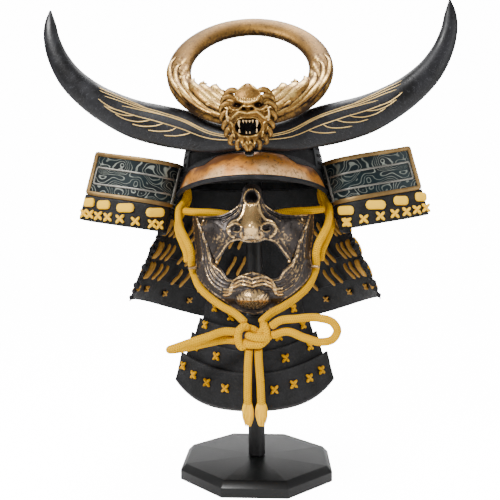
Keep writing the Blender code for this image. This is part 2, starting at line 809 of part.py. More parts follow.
def guard_edge(level, turn, offset):
    """A loop of the neck guard at a level share, 0 at its top and 1 at its lower edge."""
    half_width = GUARD_HALF_WIDTH_TOP + (GUARD_HALF_WIDTH - GUARD_HALF_WIDTH_TOP) * level + offset
    length = GUARD_LENGTH_TOP + (GUARD_LENGTH - GUARD_LENGTH_TOP) * level + offset
    front = math.cos(math.radians(GUARD_SWEEP_DEG))
    back = np.clip((np.cos(turn) - front) / (1 - front), 0, 1)
    z = GUARD_TOP_Z - GUARD_FRONT_HEIGHT * level - GUARD_BACK_DROP * level * back**2
    return np.stack([half_width * np.sin(turn), length * np.cos(turn), z], -1)


def make_neck_guard(parent):
    """Lames round the sides and back, each lapping over the outside of the one above."""
    sweep = math.radians(GUARD_SWEEP_DEG)
    turn = np.linspace(-sweep, sweep, 25)
    step = GUARD_WALL + 3 * GAP
    for k in range(LAMES):
        top = k / LAMES
        bottom = (k + 1) / LAMES
        lap = GUARD_LAP / GUARD_FRONT_HEIGHT if k else 0.0
        levels = (top - lap, bottom)
        lean = step * np.array([1.0 if k else 0.0, 0.0])
        outer = np.stack([guard_edge(level, turn, GUARD_WALL + extra) for level, extra in zip(levels, lean)])
        inner = np.stack([guard_edge(level, turn, extra) for level, extra in zip(levels, lean)])
        wall(f"neck_lame_{k + 1}", outer, inner, black_leather(), parent)


# Mask


def mask_depth(x, z):
    """How far forward (-Y) the mask's front lies: a rounded face with nose, lips and chin."""
    up = (z - MASK_CHIN_Z) / MASK_HEIGHT
    out = np.abs(x) / MASK_HALF_WIDTH
    curve = np.sqrt(np.clip(1 - (x / MASK_CURVE_WIDTH) ** 2, 0.02, 1))
    y = MASK_CENTRE_Y - MASK_CURVE_DEPTH * curve
    y = y + 0.016 * np.clip(0.14 - up, 0, 1) / 0.14
    y = y + 0.010 * np.clip(up - 0.72, 0, 1) / 0.28
    nose = bump(out, up, 0.0, 0.665, 0.20, 0.085) + 0.35 * bump(out, up, 0.0, 0.80, 0.14, 0.10)
    wings = bump(out, up, 0.24, 0.655, 0.12, 0.06)
    y = y - NOSE_LENGTH * nose - 0.012 * wings
    y = y - CHIN_LENGTH * bump(out, up, 0.0, 0.15, 0.28, 0.075)
    y = y - 0.009 * bump(out, up, 0.0, 0.285, 0.42, 0.06)
    y = y - 0.006 * bump(out, up, 0.55, 0.62, 0.18, 0.14)
    return y


def outline(table, station):
    """Points of a mask outline at stations from -1 to 1, mirrored about the middle."""
    row = smooth(table, np.abs(station))
    x = np.sign(station) * row[..., 0] * MASK_HALF_WIDTH
    z = MASK_CHIN_Z + MASK_HEIGHT * row[..., 1]
    return np.stack([x, z], -1)


def mask_sheet(name, lower, upper, stations, levels, parent):
    """A wall between two outlines, laid on the mask's front and thickened inwards."""
    share = np.linspace(0, 1, levels)[:, None, None]
    flat = outline(lower, stations) * (1 - share) + outline(upper, stations) * share
    x, z = flat[..., 0], flat[..., 1]
    front = np.stack([x, mask_depth(x, z), z], -1)
    normal = normals_of(front)
    normal = normal * np.sign(-normal[..., 1:2])
    back = front - normal * MASK_WALL
    return wall(name, front, back, gunmetal(), parent)


def make_mask(parent):
    upper_stations = np.linspace(-1, 1, 31)
    jaw_stations = np.linspace(-1, 1, 37)
    mask_sheet("mask_upper", MOUTH_TOP, UPPER_TOP, upper_stations, 8, parent)
    spread = SEAM_GAP / MASK_HALF_WIDTH
    inner = [(s, out + (spread if s > 0.4 else 0.0), up - (spread if 0.4 < s < 0.5 else 0.0))
             for s, out, up in JAW_INNER]
    mask_sheet("mask_jaw", inner, JAW_OUTER, jaw_stations, 5, parent)
    for name, side in (("left", -1.0), ("right", 1.0)):
        make_peg(name, side, parent)


def make_peg(name, side, parent):
    """A short pin on the jaw's side, which the chin cord hooks behind."""
    x = 0.93 * MASK_HALF_WIDTH
    z = MASK_CHIN_Z + 0.36 * MASK_HEIGHT
    y = float(mask_depth(np.array(x), np.array(z)))
    mesh = bpy.data.meshes.new(f"cord_peg_{name}")
    work = bmesh.new()
    bmesh.ops.create_cone(work, cap_ends=True, segments=10, radius1=PEG_DIAMETER / 2,
                          radius2=PEG_DIAMETER / 2.6, depth=PEG_LENGTH)
    work.to_mesh(mesh)
    work.free()
    mesh.materials.append(gunmetal())
    peg = bpy.data.objects.new(f"cord_peg_{name}", mesh)
    bpy.context.scene.collection.objects.link(peg)
    peg.parent = parent
    axis = Vector((side * 0.86, -0.5, 0.0)).normalized()
    peg.rotation_euler = axis.to_track_quat("Z", "Y").to_euler()
    peg.location = Vector((side * x, y, z)) + axis * (PEG_LENGTH / 2 + 2 * GAP)
    return peg


def make_mask_arm(parent):
    """A plain bar from the post to the inside of the nose bridge, which carries the mask."""
    z = MASK_CHIN_Z + 0.80 * MASK_HEIGHT
    wide = np.array([-1, 0, 1])[:, None] * ARM_WIDTH / 2
    tall = z + np.array([-1, 0, 1])[None, :] * ARM_HEIGHT / 2
    front = float(mask_depth(wide, tall).max()) + 2 * MASK_WALL + 3 * GAP
    back = -POST_DIAMETER / 2 - GAP
    corners = [(-1, -1), (1, -1), (1, 1), (-1, 1)]
    rings = np.array([[(a * ARM_WIDTH / 2, y, z + b * ARM_HEIGHT / 2) for a, b in corners]
                      for y in (back, front)])
    return tube("mask_arm", rings, black_metal(), parent)


# Throat guard


def make_throat_guard(parent):
    """Four lames below the chin, each lapping over the front of the one above."""
    station = np.linspace(-1, 1, 15)
    for k, row in enumerate(THROAT_LAMES):
        top_width, low_width, top_mid, top_side, low_mid, low_side, forward = row
        share = np.array([0.0, 0.5, 1.0])[:, None]
        width = THROAT_HALF_WIDTH * (top_width + (low_width - top_width) * share)
        mid = THROAT_TOP_Z - THROAT_HEIGHT * (top_mid + (low_mid - top_mid) * share)
        side = THROAT_TOP_Z - THROAT_HEIGHT * (top_side + (low_side - top_side) * share)
        bend = station[None, :] ** 2 * (1 - share) + station[None, :] ** 4 * share
        x = width * station
        z = mid + (side - mid) * bend
        depth = THROAT_SIDE_Y - THROAT_FRONT_Y
        y = THROAT_FRONT_Y - depth * forward + depth * (1 + 0.3 * forward) * station**2 - 0.004 * share
        y = y + 0 * x
        front = np.stack([x, y, z], -1)
        normal = normals_of(front)
        normal = normal * np.sign(-normal[..., 1:2])
        back = front - normal * THROAT_WALL
        wall(f"throat_lame_{k + 1}", front, back, black_leather(), parent)


# Chin cord


def route_points(route, spacing):
    """Evenly spaced points of a smooth curve through a route's own points."""
    points = np.array(route, float)
    run = np.concatenate([[0], np.cumsum(np.linalg.norm(np.diff(points, axis=0), axis=1))])
    table = np.column_stack([run, points])
    fine = smooth(table, np.linspace(0, run[-1], 400))
    fine_run = np.concatenate([[0], np.cumsum(np.linalg.norm(np.diff(fine, axis=0), axis=1))])
    count = max(4, round(fine_run[-1] / spacing) + 1)
    even = np.linspace(0, fine_run[-1], count)
    return np.stack([np.interp(even, fine_run, fine[:, i]) for i in range(3)], -1)


def make_cord(name, route, parent, side=1.0):
    curve = bpy.data.curves.new(name, "CURVE")
    curve.dimensions = "3D"
    curve.bevel_depth = CORD_DIAMETER / 2
    curve.bevel_resolution = 2
    curve.use_fill_caps = True
    points = route_points(route, CORD_DIAMETER * 1.7) * np.array([side, 1.0, 1.0])
    spline = curve.splines.new("POLY")
    spline.points.add(len(points) - 1)
    for slot, point in zip(spline.points, points):
        slot.co = (*point, 1.0)
    curve.materials.append(yellow_cord())
    obj = bpy.data.objects.new(name, curve)
    bpy.context.scene.collection.objects.link(obj)
    obj.parent = parent
    return obj


def make_knot(parent):
    """The bow's knot: a rounded lump with a wrap across it."""
    turn = np.linspace(0, 2 * np.pi, 16, endpoint=False)[None, :]
    climb = np.linspace(-np.pi / 2 * 0.9, np.pi / 2 * 0.9, 7)[:, None]
    wrap = 1 + 0.10 * np.cos(3 * turn) * np.cos(climb)
    x = KNOT_X + KNOT_WIDTH / 2 * np.cos(climb) ** 0.7 * np.cos(turn) * wrap
    y = KNOT_Y + KNOT_DEPTH / 2 * np.cos(climb) ** 0.7 * np.sin(turn)
    z = KNOT_Z + KNOT_HEIGHT / 2 * np.sin(climb) + 0 * turn
    return tube("bow_knot", np.stack([x, y, z], -1), yellow_cord(), parent)


def make_tuft(name, route, parent):
    """A frayed cord end: locks that spread a little and close again, fused to one head."""
    end = np.array(route[-1])
    turn = np.linspace(0, 2 * np.pi, 12, endpoint=False)
    rings = []
    for share, size in ((0.0, 0.42), (0.12, 0.78), (0.45, 1.0), (0.8, 0.86), (1.0, 0.45)):
        locks = 1 + 0.10 * np.cos(4 * turn) * share
        radius = TUFT_WIDTH / 2 * size * locks
        z = end[2] - GAP - TUFT_LENGTH * share
        rings.append(np.stack([end[0] + radius * np.cos(turn), end[1] + radius * np.sin(turn) * 0.8,
                               z + 0 * turn], -1))
    return tube(name, np.stack(rings), yellow_cord(), parent)


def make_cords(parent, mask):
    for name, side in (("left", -1.0), ("right", 1.0)):
        make_cord(f"chin_cord_{name}", CHIN_ROUTE, mask, side)
        make_cord(f"side_cord_{name}", SIDE_ROUTE, mask, side)
    make_cord("cross_cord", CROSS_ROUTE, parent)
    make_knot(parent)
    make_cord("bow_loop_left", LEFT_BOW_ROUTE, parent)
    make_cord("bow_loop_right", RIGHT_BOW_ROUTE, parent)
    for name, route in (("left", LEFT_TAIL_ROUTE), ("right", RIGHT_TAIL_ROUTE)):
        make_cord(f"cord_tail_{name}", route, parent)
        make_tuft(f"tuft_{name}", route, parent)


def main():
    clear_scene()
    helmet = bpy.data.objects.new("helmet", None)
    bpy.context.scene.collection.objects.link(helmet)
    helmet.rotation_euler = (0.0, math.radians(HELMET_LEAN_DEG), 0.0)
    mask = bpy.data.objects.new("mask", None)
    bpy.context.scene.collection.objects.link(mask)
    mask.parent = helmet
    mask.location = (MASK_SHIFT, 0.0, 0.0)
    make_base()
    make_post(helmet)
    make_rest(helmet)
    make_bowl(helmet)
    make_band(helmet)
    make_peak(helmet)
    make_peak_rim(helmet)
    make_stud(helmet)
    make_horns(helmet)
    make_ring(helmet)
    make_dragon_head(helmet)
    make_plates(helmet)
    make_neck_guard(helmet)
    make_mask(mask)
    make_mask_arm(helmet)
    make_throat_guard(helmet)
    make_cords(helmet, mask)


main()
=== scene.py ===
"""Looks of a kabuto samurai helmet, with mask, throat guard and tied chin cord, on its stand.

Metres, +Z up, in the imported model's own frame. The helmet faces -Y, and left and right are the
photograph's. Everything above the base is worked out upright and then leant a little to one side.
"""

from __future__ import annotations

import logging
import math
from dataclasses import dataclass, field
from enum import Enum

import bpy
import bmesh
import numpy as np
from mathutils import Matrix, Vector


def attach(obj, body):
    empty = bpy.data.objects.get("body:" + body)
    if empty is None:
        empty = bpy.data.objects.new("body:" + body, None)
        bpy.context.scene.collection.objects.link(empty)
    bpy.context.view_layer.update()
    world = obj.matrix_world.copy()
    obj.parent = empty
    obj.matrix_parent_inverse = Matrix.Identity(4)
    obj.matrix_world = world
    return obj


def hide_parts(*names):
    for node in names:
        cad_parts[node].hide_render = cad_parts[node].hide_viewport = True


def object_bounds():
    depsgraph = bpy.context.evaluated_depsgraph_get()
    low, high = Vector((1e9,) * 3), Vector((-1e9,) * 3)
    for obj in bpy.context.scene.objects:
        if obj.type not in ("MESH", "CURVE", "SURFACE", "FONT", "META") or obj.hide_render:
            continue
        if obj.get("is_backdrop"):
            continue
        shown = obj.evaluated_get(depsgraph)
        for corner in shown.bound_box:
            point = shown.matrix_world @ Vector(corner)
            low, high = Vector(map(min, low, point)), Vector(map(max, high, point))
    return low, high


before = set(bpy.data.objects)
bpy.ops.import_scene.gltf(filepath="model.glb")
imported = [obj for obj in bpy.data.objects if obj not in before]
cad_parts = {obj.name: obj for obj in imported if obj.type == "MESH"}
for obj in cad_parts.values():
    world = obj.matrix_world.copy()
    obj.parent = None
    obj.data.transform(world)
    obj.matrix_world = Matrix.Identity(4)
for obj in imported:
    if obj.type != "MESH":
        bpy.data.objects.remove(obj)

LOG = logging.getLogger("kabuto")
Array = np.ndarray
Table = list[tuple[float, ...]]
Tree = bpy.types.NodeTree
Node = bpy.types.Node
Socket = bpy.types.NodeSocket

LEAN = math.radians(-0.78)
MASK_SHIFT = 0.002
GAP = 0.0003
CORD_DIAMETER = 0.0105
UP = np.array([0.0, 0.0, 1.0])
BACK = np.array([0.0, 1.0, 0.0])
PEAK_OUT = np.array([0.0, -0.6, 0.8])


class Side(Enum):
    """The photograph's left or right, with the sign of its x."""

    LEFT = -1
    RIGHT = 1

    @property
    def word(self) -> str:
        """The side's name in piece names."""
        return self.name.lower()


class Slot(Enum):
    """Material slot names that the finishes carry."""

    BLACK_METAL = "black_metal"
    BLACK_LEATHER = "black_leather"
    AGED_GOLD = "aged_gold"
    AGED_COPPER = "aged_copper"
    HORN = "horn"
    ENGRAVED_PLATE = "engraved_plate"
    GUNMETAL = "worn_gunmetal"
    YELLOW_CORD = "yellow_cord"


# Arrays and surfaces


@dataclass
class Surface:
    """Points with faces, and what varies over them.

    uv holds one pair a point; where a surface wraps round, its second value runs from 0 to 1.
    """

    points: Array
    quads: Array
    tris: Array = field(default_factory=lambda: np.empty((0, 3), int))
    relief: Array | None = None
    uv: Array | None = None

    def moved(self, points: Array) -> "Surface":
        """The same faces on other points."""
        return Surface(points.reshape(-1, 3), self.quads, self.tris, self.relief, self.uv)

    def lean(self, shift: float = 0.0) -> "Surface":
        """The surface moved along x and then leant as the helmet is."""
        return self.moved(leaned(self.points, shift))

    def mirrored(self) -> "Surface":
        """The surface reflected from one side to the other."""
        return self.moved(self.points * np.array([-1.0, 1.0, 1.0]))


def joined(parts: list[Surface]) -> Surface:
    """Puts several surfaces into one, keeping relief and uv where any part has them.

    Args:
        parts: Surfaces to put together.

    Returns:
        One surface, with the faces renumbered.
    """
    starts = np.cumsum([0] + [len(p.points) for p in parts])[:-1]
    relief = np.concatenate([p.relief if p.relief is not None else np.zeros(len(p.points)) for p in parts])
    uv = np.concatenate([p.uv if p.uv is not None else np.zeros((len(p.points), 2)) for p in parts])
    return Surface(
        np.concatenate([p.points for p in parts]),
        np.concatenate([p.quads + s for p, s in zip(parts, starts)]),
        np.concatenate([p.tris + s for p, s in zip(parts, starts)]),
        relief,
        uv,
    )


def unit(vectors: Array) -> Array:
    """Vectors divided by their length."""
    return vectors / np.maximum(np.linalg.norm(vectors, axis=-1, keepdims=True), 1e-12)


def leaned(points: Array, shift: float = 0.0) -> Array:
    """Turns upright helmet points about Y by the lean: x gains z times its sine.

    Args:
        points: Points of the upright helmet.
        shift: How far to move them along x first.

    Returns:
        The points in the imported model's frame.
    """
    x, y, z = points[..., 0] + shift, points[..., 1], points[..., 2]
    cos, sin = math.cos(LEAN), math.sin(LEAN)
    return np.stack([x * cos + z * sin, y, z * cos - x * sin], -1)


def smooth(table: Table, where: Array) -> Array:
    """Reads a smooth curve through a table by cubic Hermite pieces.

    Args:
        table: Rows whose first column is the station.
        where: Stations to read.

    Returns:
        The other columns, in the last axis.
    """
    rows = np.array(table, float)
    stations = rows[:, 0]
    slopes = np.gradient(rows, stations, axis=0)
    where = np.clip(np.asarray(where, float), stations[0], stations[-1])
    left = np.clip(np.searchsorted(stations, where, side="right") - 1, 0, len(rows) - 2)
    span = stations[left + 1] - stations[left]
    t = ((where - stations[left]) / span)[..., None]
    span = span[..., None]
    start = rows[left] * (1 + 2 * t) * (1 - t) ** 2 + slopes[left] * span * t * (1 - t) ** 2
    end = rows[left + 1] * t * t * (3 - 2 * t) + slopes[left + 1] * span * t * t * (t - 1)
    return (start + end)[..., 1:]


def curve_at(line: Table | Array, share: Array) -> Array:
    """A smooth curve through a line's points, read at shares of the way through them."""
    rough = np.array(line, float)
    return smooth(np.column_stack([np.linspace(0, 1, len(rough)), rough]), share)


def distances(path: Array) -> Array:
    """How far along a path each of its points lies."""
    return np.concatenate([[0], np.cumsum(np.linalg.norm(np.diff(path, axis=0), axis=1))])


def route(points: Table | Array, spacing: float) -> Array:
    """Evenly spaced points on a smooth curve through a route's own points.

    Args:
        points: The route's own points.
        spacing: Step between the points made.

    Returns:
        The points along the curve.
    """
    rough = np.array(points, float)
    run = distances(rough)
    fine = smooth(np.column_stack([run, rough]), np.linspace(0, run[-1], 600))
    fine_run = distances(fine)
    even = np.linspace(0, fine_run[-1], max(5, round(fine_run[-1] / spacing) + 1))
    return np.stack([np.interp(even, fine_run, fine[:, i]) for i in range(3)], -1)


def grid_quads(rows: int, columns: int, wrap_columns: bool = False, wrap_rows: bool = False) -> Array:
    """Index quads of a grid stored row by row; a wrapped direction joins its end to its start.

    Args:
        rows: Rows of the grid.
        columns: Columns of the grid.
        wrap_columns: Whether the last column meets the first.
        wrap_rows: Whether the last row meets the first.

    Returns:
        Four point indices a face.
    """
    index = np.arange(rows * columns).reshape(rows, columns)
    if wrap_columns:
        index = np.concatenate([index, index[:, :1]], axis=1)
    if wrap_rows:
        index = np.concatenate([index, index[:1]], axis=0)
    return np.stack([index[:-1, :-1], index[:-1, 1:], index[1:, 1:], index[1:, :-1]], -1).reshape(-1, 4)


def grid_normals(grid: Array) -> Array:
    """Unit normals of a grid: the cross product of its two directions."""
    return unit(np.cross(np.gradient(grid, axis=1), np.gradient(grid, axis=0)))


def facing(normals: Array) -> Array:
    """Normals turned to the front, which is -Y."""
    return normals * np.where(normals[..., 1:2] > 0, -1.0, 1.0)


def grid_uv(rows: int, columns: int) -> Array:
    """UV of a grid: rows along the first value, columns along the second."""
    u, v = np.meshgrid(np.linspace(0, 1, rows), np.linspace(0, 1, columns), indexing="ij")
    return np.stack([u.ravel(), v.ravel()], -1)


def wall(front: Array, back: Array, relief: Array | None = None, closed: bool = False) -> Surface:
    """A wall between a front and a back grid, with its edges closed.

    Args:
        front: Grid of the face that shows.
        back: Grid of the other face, of the same shape.
        relief: Height of each front point for the finish; the back takes none.
        closed: Whether the last column meets the first.

    Returns:
        One closed surface.
    """
    rows, columns = front.shape[:2]
    count = rows * columns
    quads = grid_quads(rows, columns, closed)
    index = np.arange(count).reshape(rows, columns)
    edges = [index[0], index[-1]]
    if closed:
        edges = [np.append(edge, edge[0]) for edge in edges]
    else:
        edges += [index[:, 0], index[:, -1]]
    sides = [np.stack([e[:-1], e[1:], e[1:] + count, e[:-1] + count], -1) for e in edges]
    height = np.zeros((rows, columns)) if relief is None else relief
    uv = grid_uv(rows, columns)
    return Surface(
        np.concatenate([front.reshape(-1, 3), back.reshape(-1, 3)]),
        np.concatenate([quads, quads[:, ::-1] + count] + sides),
        relief=np.concatenate([height.ravel(), np.zeros(count)]),
        uv=np.concatenate([uv, uv]),
    )


def tube(rings: Array, relief: Array | None = None, ring_uv: Array | None = None,
         round_trip: bool = False) -> Surface:
    """A skin over rings of points, joined end to end or closed at two poles.

    Args:
        rings: Grid of shape (rings, points round, 3).
        relief: Height of each point for the finish.
        ring_uv: First uv value of each ring; the second runs once round.
        round_trip: Whether the last ring meets the first.

    Returns:
        One closed surface.
    """
    rows, columns = rings.shape[:2]
    height = np.zeros((rows, columns)) if relief is None else relief
    along = np.linspace(0, 1, rows) if ring_uv is None else ring_uv
    turn = np.linspace(0, 1, columns, endpoint=False)
    uv = np.stack(np.meshgrid(along, turn, indexing="ij"), -1).reshape(-1, 2)
    points = rings.reshape(-1, 3)
    quads = grid_quads(rows, columns, True, round_trip)
    if round_trip:
        return Surface(points, quads, relief=height.ravel(), uv=uv)
    count = rows * columns
    poles = np.stack([rings[0].mean(0), rings[-1].mean(0)])
    ring = np.arange(columns)
    following = np.roll(ring, -1)
    last = count - columns
    caps = np.concatenate([
        np.stack([np.full(columns, count), following, ring], -1),
        np.stack([np.full(columns, count + 1), last + ring, last + following], -1),
    ])
    return Surface(
        np.concatenate([points, poles]),
        quads,
        caps,
        np.concatenate([height.ravel(), [height[0].mean(), height[-1].mean()]]),
        np.concatenate([uv, [[along[0], 0.5], [along[-1], 0.5]]]),
    )


def swept(path: Array, half_width: Array | float, half_depth: Array | float, side: Array,
          count: int = 12, power: float = 1.0) -> Array:
    """Rings carried along a path: half_width across it and half_depth along side.

    Args:
        path: Points of the centre line.
        half_width: Half size across, one value or one a point.
        half_depth: Half size along side, one value or one a point.
        side: The direction, or one a point, that each ring's depth leans towards.
        count: Points in a ring.
        power: Exponent of the sine and cosine; under 1 squares the section.

    Returns:
        Grid of shape (points, count, 3).
    """
    tangent = unit(np.gradient(path, axis=0))
    across = unit(np.cross(tangent, np.broadcast_to(side, path.shape)))
    along = np.cross(across, tangent)
    turn = circle(count)
    cos = np.sign(np.cos(turn)) * np.abs(np.cos(turn)) ** power
    sin = np.sign(np.sin(turn)) * np.abs(np.sin(turn)) ** power
    wide = np.broadcast_to(half_width, (len(path),))[:, None] * cos
    deep = np.broadcast_to(half_depth, (len(path),))[:, None] * sin
    return path[:, None] + across[:, None] * wide[..., None] + along[:, None] * deep[..., None]


def rounded(count: int, share: float = 0.08) -> Array:
    """Sizes along a sweep that close in a quarter circle at each end.

    Args:
        count: Points along the sweep.
        share: Share of the length that each end takes.

    Returns:
        A factor a point: 1 between the ends and 0.05 at each end.
    """
    t = np.linspace(0, 1, count)
    edge = np.clip(np.minimum(t, 1 - t) / share, 0, 1)
    return np.sqrt(np.clip(1 - (1 - edge) ** 2, 0.0025, 1))


def rod(points: Table | Array, radius: float, side: Array, count: int, taper: float) -> Surface:
    """A short round-ended rod along a curve, thinning towards its end by taper.

    Args:
        points: Points of the centre line.
        radius: Radius at its thickest.
        side: A direction that it never runs along.
        count: Points in a ring.
        taper: Share of the radius lost by its far end.

    Returns:
        One closed surface.
    """
    steps = 24
    rough = np.array(points, float)
    run = distances(rough)
    path = smooth(np.column_stack([run, rough]), np.linspace(0, run[-1], steps))
    size = radius * rounded(steps) * (1 - taper * np.linspace(0, 1, steps))
    return tube(swept(path, size, size, side, count))


def circle(count: int) -> Array:
    """Angles once round, evenly spaced, without the last that meets the first."""
    return np.linspace(0, 2 * np.pi, count, endpoint=False)


def bell(value: Array, middle: float, width: float) -> Array:
    """The bell curve of a value's distance from the middle, 1 at the middle."""
    return np.exp(-((value - middle) / width) ** 2)


def bump(x: Array, z: Array, at: tuple[float, float], size: tuple[float, float]) -> Array:
    """A smooth round hill, 1 at its centre: the bell curve of both distances."""
    return np.exp(-((x - at[0]) / size[0]) ** 2 - ((z - at[1]) / size[1]) ** 2)


def line_distance(x: Array, z: Array, line: Table) -> Array:
    """Distance of each point to the nearest of a line's straight pieces.

    Args:
        x: First coordinates.
        z: Second coordinates.
        line: The line's points.

    Returns:
        A distance a point.
    """
    ends = np.array(line, float)
    near = np.full(x.shape, np.inf)
    for start, end in zip(ends[:-1], ends[1:]):
        step = end - start
        t = np.clip(((x - start[0]) * step[0] + (z - start[1]) * step[1]) / (step @ step), 0, 1)
        near = np.minimum(near, np.hypot(x - start[0] - t * step[0], z - start[1] - t * step[1]))
    return near


def curve_ridge(x: Array, z: Array, line: Table, width: float) -> Array:
    """A ridge that follows a smoothed line: the bell curve of the distance to it."""
    fine = curve_at(line, np.linspace(0, 1, 28))
    return np.exp(-(line_distance(x, z, fine) / width) ** 2)


# Finishes


def socket_link(tree: Tree, socket: Socket, value: object) -> None:
    """Links a socket to another, or sets its value.

    Args:
        tree: Node tree to work in.
        socket: Input to feed.
        value: A socket, or a plain value.
    """
    if isinstance(value, Socket):
        tree.links.new(value, socket)
    else:
        socket.default_value = value


def add_node(tree: Tree, kind: str, inputs: dict | None = None, **settings: object) -> Node:
    """Adds a node, sets its properties and feeds its inputs by name or place.

    Args:
        tree: Node tree to work in.
        kind: Blender's name for the type of node.
        inputs: A socket or a value for each input.
        settings: Values of its properties.

    Returns:
        The node.
    """
    made = tree.nodes.new(kind)
    for key, value in settings.items():
        setattr(made, key, value)
    for key, value in (inputs or {}).items():
        socket_link(tree, made.inputs[key], value)
    return made


def maths(tree: Tree, operation: str, *values: object, clamp: bool = False) -> Socket:
    """A Math node's result."""
    made = add_node(tree, "ShaderNodeMath", dict(enumerate(values)), operation=operation, use_clamp=clamp)
    return made.outputs[0]


def times(tree: Tree, first: object, second: object, clamp: bool = False) -> Socket:
    """The product of two values, held between 0 and 1 if clamp is set."""
    return maths(tree, "MULTIPLY", first, second, clamp=clamp)


def stretch(tree: Tree, value: object, low: float, high: float,
            to_low: float = 0.0, to_high: float = 1.0) -> Socket:
    """Maps low to high onto another range, smoothly and held at its ends.

    Args:
        tree: Node tree to work in.
        value: What is mapped.
        low: Start of its range.
        high: End of its range.
        to_low: Result at low.
        to_high: Result at high.

    Returns:
        The mapped value.
    """
    made = add_node(tree, "ShaderNodeMapRange",
                    {"Value": value, "From Min": low, "From Max": high, "To Min": to_low, "To Max": to_high},
                    interpolation_type="SMOOTHSTEP")
    return made.outputs["Result"]


def blended(tree: Tree, share: object, first: object, second: object) -> Socket:
    """A colour between two by a share.

    Args:
        tree: Node tree to work in.
        share: 0 for the first and 1 for the second.
        first: A colour.
        second: Another colour.

    Returns:
        The blended colour.
    """
    made = add_node(tree, "ShaderNodeMix", data_type="RGBA")
    for name, value in (("Factor", share), ("A", first), ("B", second)):
        found = [s for s in made.inputs if s.name == name and s.enabled]
        socket_link(tree, found[0], (*value, 1.0) if isinstance(value, tuple) else value)
    return [s for s in made.outputs if s.enabled][0]


def new_group(name: str, inputs: dict[str, float], outputs: dict[str, str]) -> tuple:
    """A shader node group with float inputs and its outputs.

    Args:
        name: Group name.
        inputs: Float sockets and their values.
        outputs: Socket names and their kinds.

    Returns:
        The group, its input node and its output node.
    """
    group = bpy.data.node_groups.new(name, "ShaderNodeTree")
    for key, value in inputs.items():
        socket = group.interface.new_socket(key, in_out="INPUT", socket_type="NodeSocketFloat")
        socket.default_value = value
    for key, kind in outputs.items():
        group.interface.new_socket(key, in_out="OUTPUT", socket_type=kind)
    return group, group.nodes.new("NodeGroupInput"), group.nodes.new("NodeGroupOutput")


def grain_group() -> Tree:
    """Fine pebbled grain: cells of a few sizes with noise over them, as a mask and a normal.

    Returns:
        The group, to be placed in materials.
    """
    group, start, end = new_group("Grain", {"Scale": 900.0, "Strength": 0.3},
                                  {"Mask": "NodeSocketFloat", "Normal": "NodeSocketVector"})
    place = add_node(group, "ShaderNodeTexCoord").outputs["Object"]
    cells = add_node(group, "ShaderNodeTexVoronoi", {"Vector": place, "Scale": start.outputs["Scale"]})
    noise = add_node(group, "ShaderNodeTexNoise",
                     {"Vector": place, "Scale": times(group, start.outputs["Scale"], 0.35), "Detail": 6.0})
    height = maths(group, "ADD", times(group, cells.outputs["Distance"], 0.6), noise.outputs["Fac"])
    relief = add_node(group, "ShaderNodeBump",
                      {"Height": height, "Strength": start.outputs["Strength"], "Distance": 0.0006})
    group.links.new(height, end.inputs["Mask"])
    group.links.new(relief.outputs["Normal"], end.inputs["Normal"])
    return group


def speckle_group() -> Tree:
    """Scattered dark specks and broad clouds, for aged metal.

    Returns:
        The group, to be placed in materials.
    """
    group, start, end = new_group("Speckle", {"Scale": 260.0, "Amount": 0.5},
                                  {"Specks": "NodeSocketFloat", "Clouds": "NodeSocketFloat"})
    place = add_node(group, "ShaderNodeTexCoord").outputs["Object"]
    fine = add_node(group, "ShaderNodeTexNoise",
                    {"Vector": place, "Scale": start.outputs["Scale"], "Detail": 8.0, "Roughness": 0.75})
    broad = add_node(group, "ShaderNodeTexNoise",
                     {"Vector": place, "Scale": times(group, start.outputs["Scale"], 0.11), "Detail": 5.0})
    level = maths(group, "SUBTRACT", 0.72, times(group, start.outputs["Amount"], 0.2))
    specks = times(group, maths(group, "SUBTRACT", fine.outputs["Fac"], level), 9.0, clamp=True)
    group.links.new(specks, end.inputs["Specks"])
    group.links.new(stretch(group, broad.outputs["Fac"], 0.35, 0.68), end.inputs["Clouds"])
    return group


def wear_and_light_group() -> Tree:
    """Where high spots turn bright, partly worn by rubbing and partly painted highlight, and hollows turn
    dark, partly patina and partly painted shade, from the relief attribute.

    Returns:
        The group, to be placed in materials.
    """
    group, start, end = new_group("WearAndLight", {"Ragged": 0.35, "Scale": 320.0},
                                  {"High": "NodeSocketFloat", "Low": "NodeSocketFloat"})
    place = add_node(group, "ShaderNodeTexCoord").outputs["Object"]
    relief = add_node(group, "ShaderNodeAttribute", attribute_name="relief").outputs["Fac"]
    noise = add_node(group, "ShaderNodeTexNoise",
                     {"Vector": place, "Scale": start.outputs["Scale"], "Detail": 7.0})
    shake = times(group, maths(group, "SUBTRACT", noise.outputs["Fac"], 0.5), start.outputs["Ragged"])
    level = maths(group, "ADD", relief, shake)
    group.links.new(stretch(group, level, 0.12, 0.75), end.inputs["High"])
    group.links.new(stretch(group, times(group, level, -1.0), 0.05, 0.6), end.inputs["Low"])
    return group


def braid_group() -> Tree:
    """Strands that cross round a cord: the higher of two slanting waves over the uv map.

    Returns:
        The group, to be placed in materials.
    """
    group, start, end = new_group("Braid", {"Turns": 4.0, "Strength": 0.8},
                                  {"Mask": "NodeSocketFloat", "Normal": "NodeSocketVector"})
    uv = add_node(group, "ShaderNodeUVMap", uv_map="UVMap").outputs["UV"]
    parts = add_node(group, "ShaderNodeSeparateXYZ", {"Vector": uv})
    along = times(group, parts.outputs["X"], 2 * math.pi * 4.0)
    turn = times(group, parts.outputs["Y"], times(group, start.outputs["Turns"], 2 * math.pi))
    one = maths(group, "SINE", maths(group, "ADD", along, turn))
    two = maths(group, "SINE", maths(group, "SUBTRACT", along, turn))
    height = maths(group, "MAXIMUM", one, two)
    relief = add_node(group, "ShaderNodeBump",
                      {"Height": height, "Strength": start.outputs["Strength"], "Distance": 0.0007})
    group.links.new(stretch(group, height, -0.4, 0.9), end.inputs["Mask"])
    group.links.new(relief.outputs["Normal"], end.inputs["Normal"])
    return group


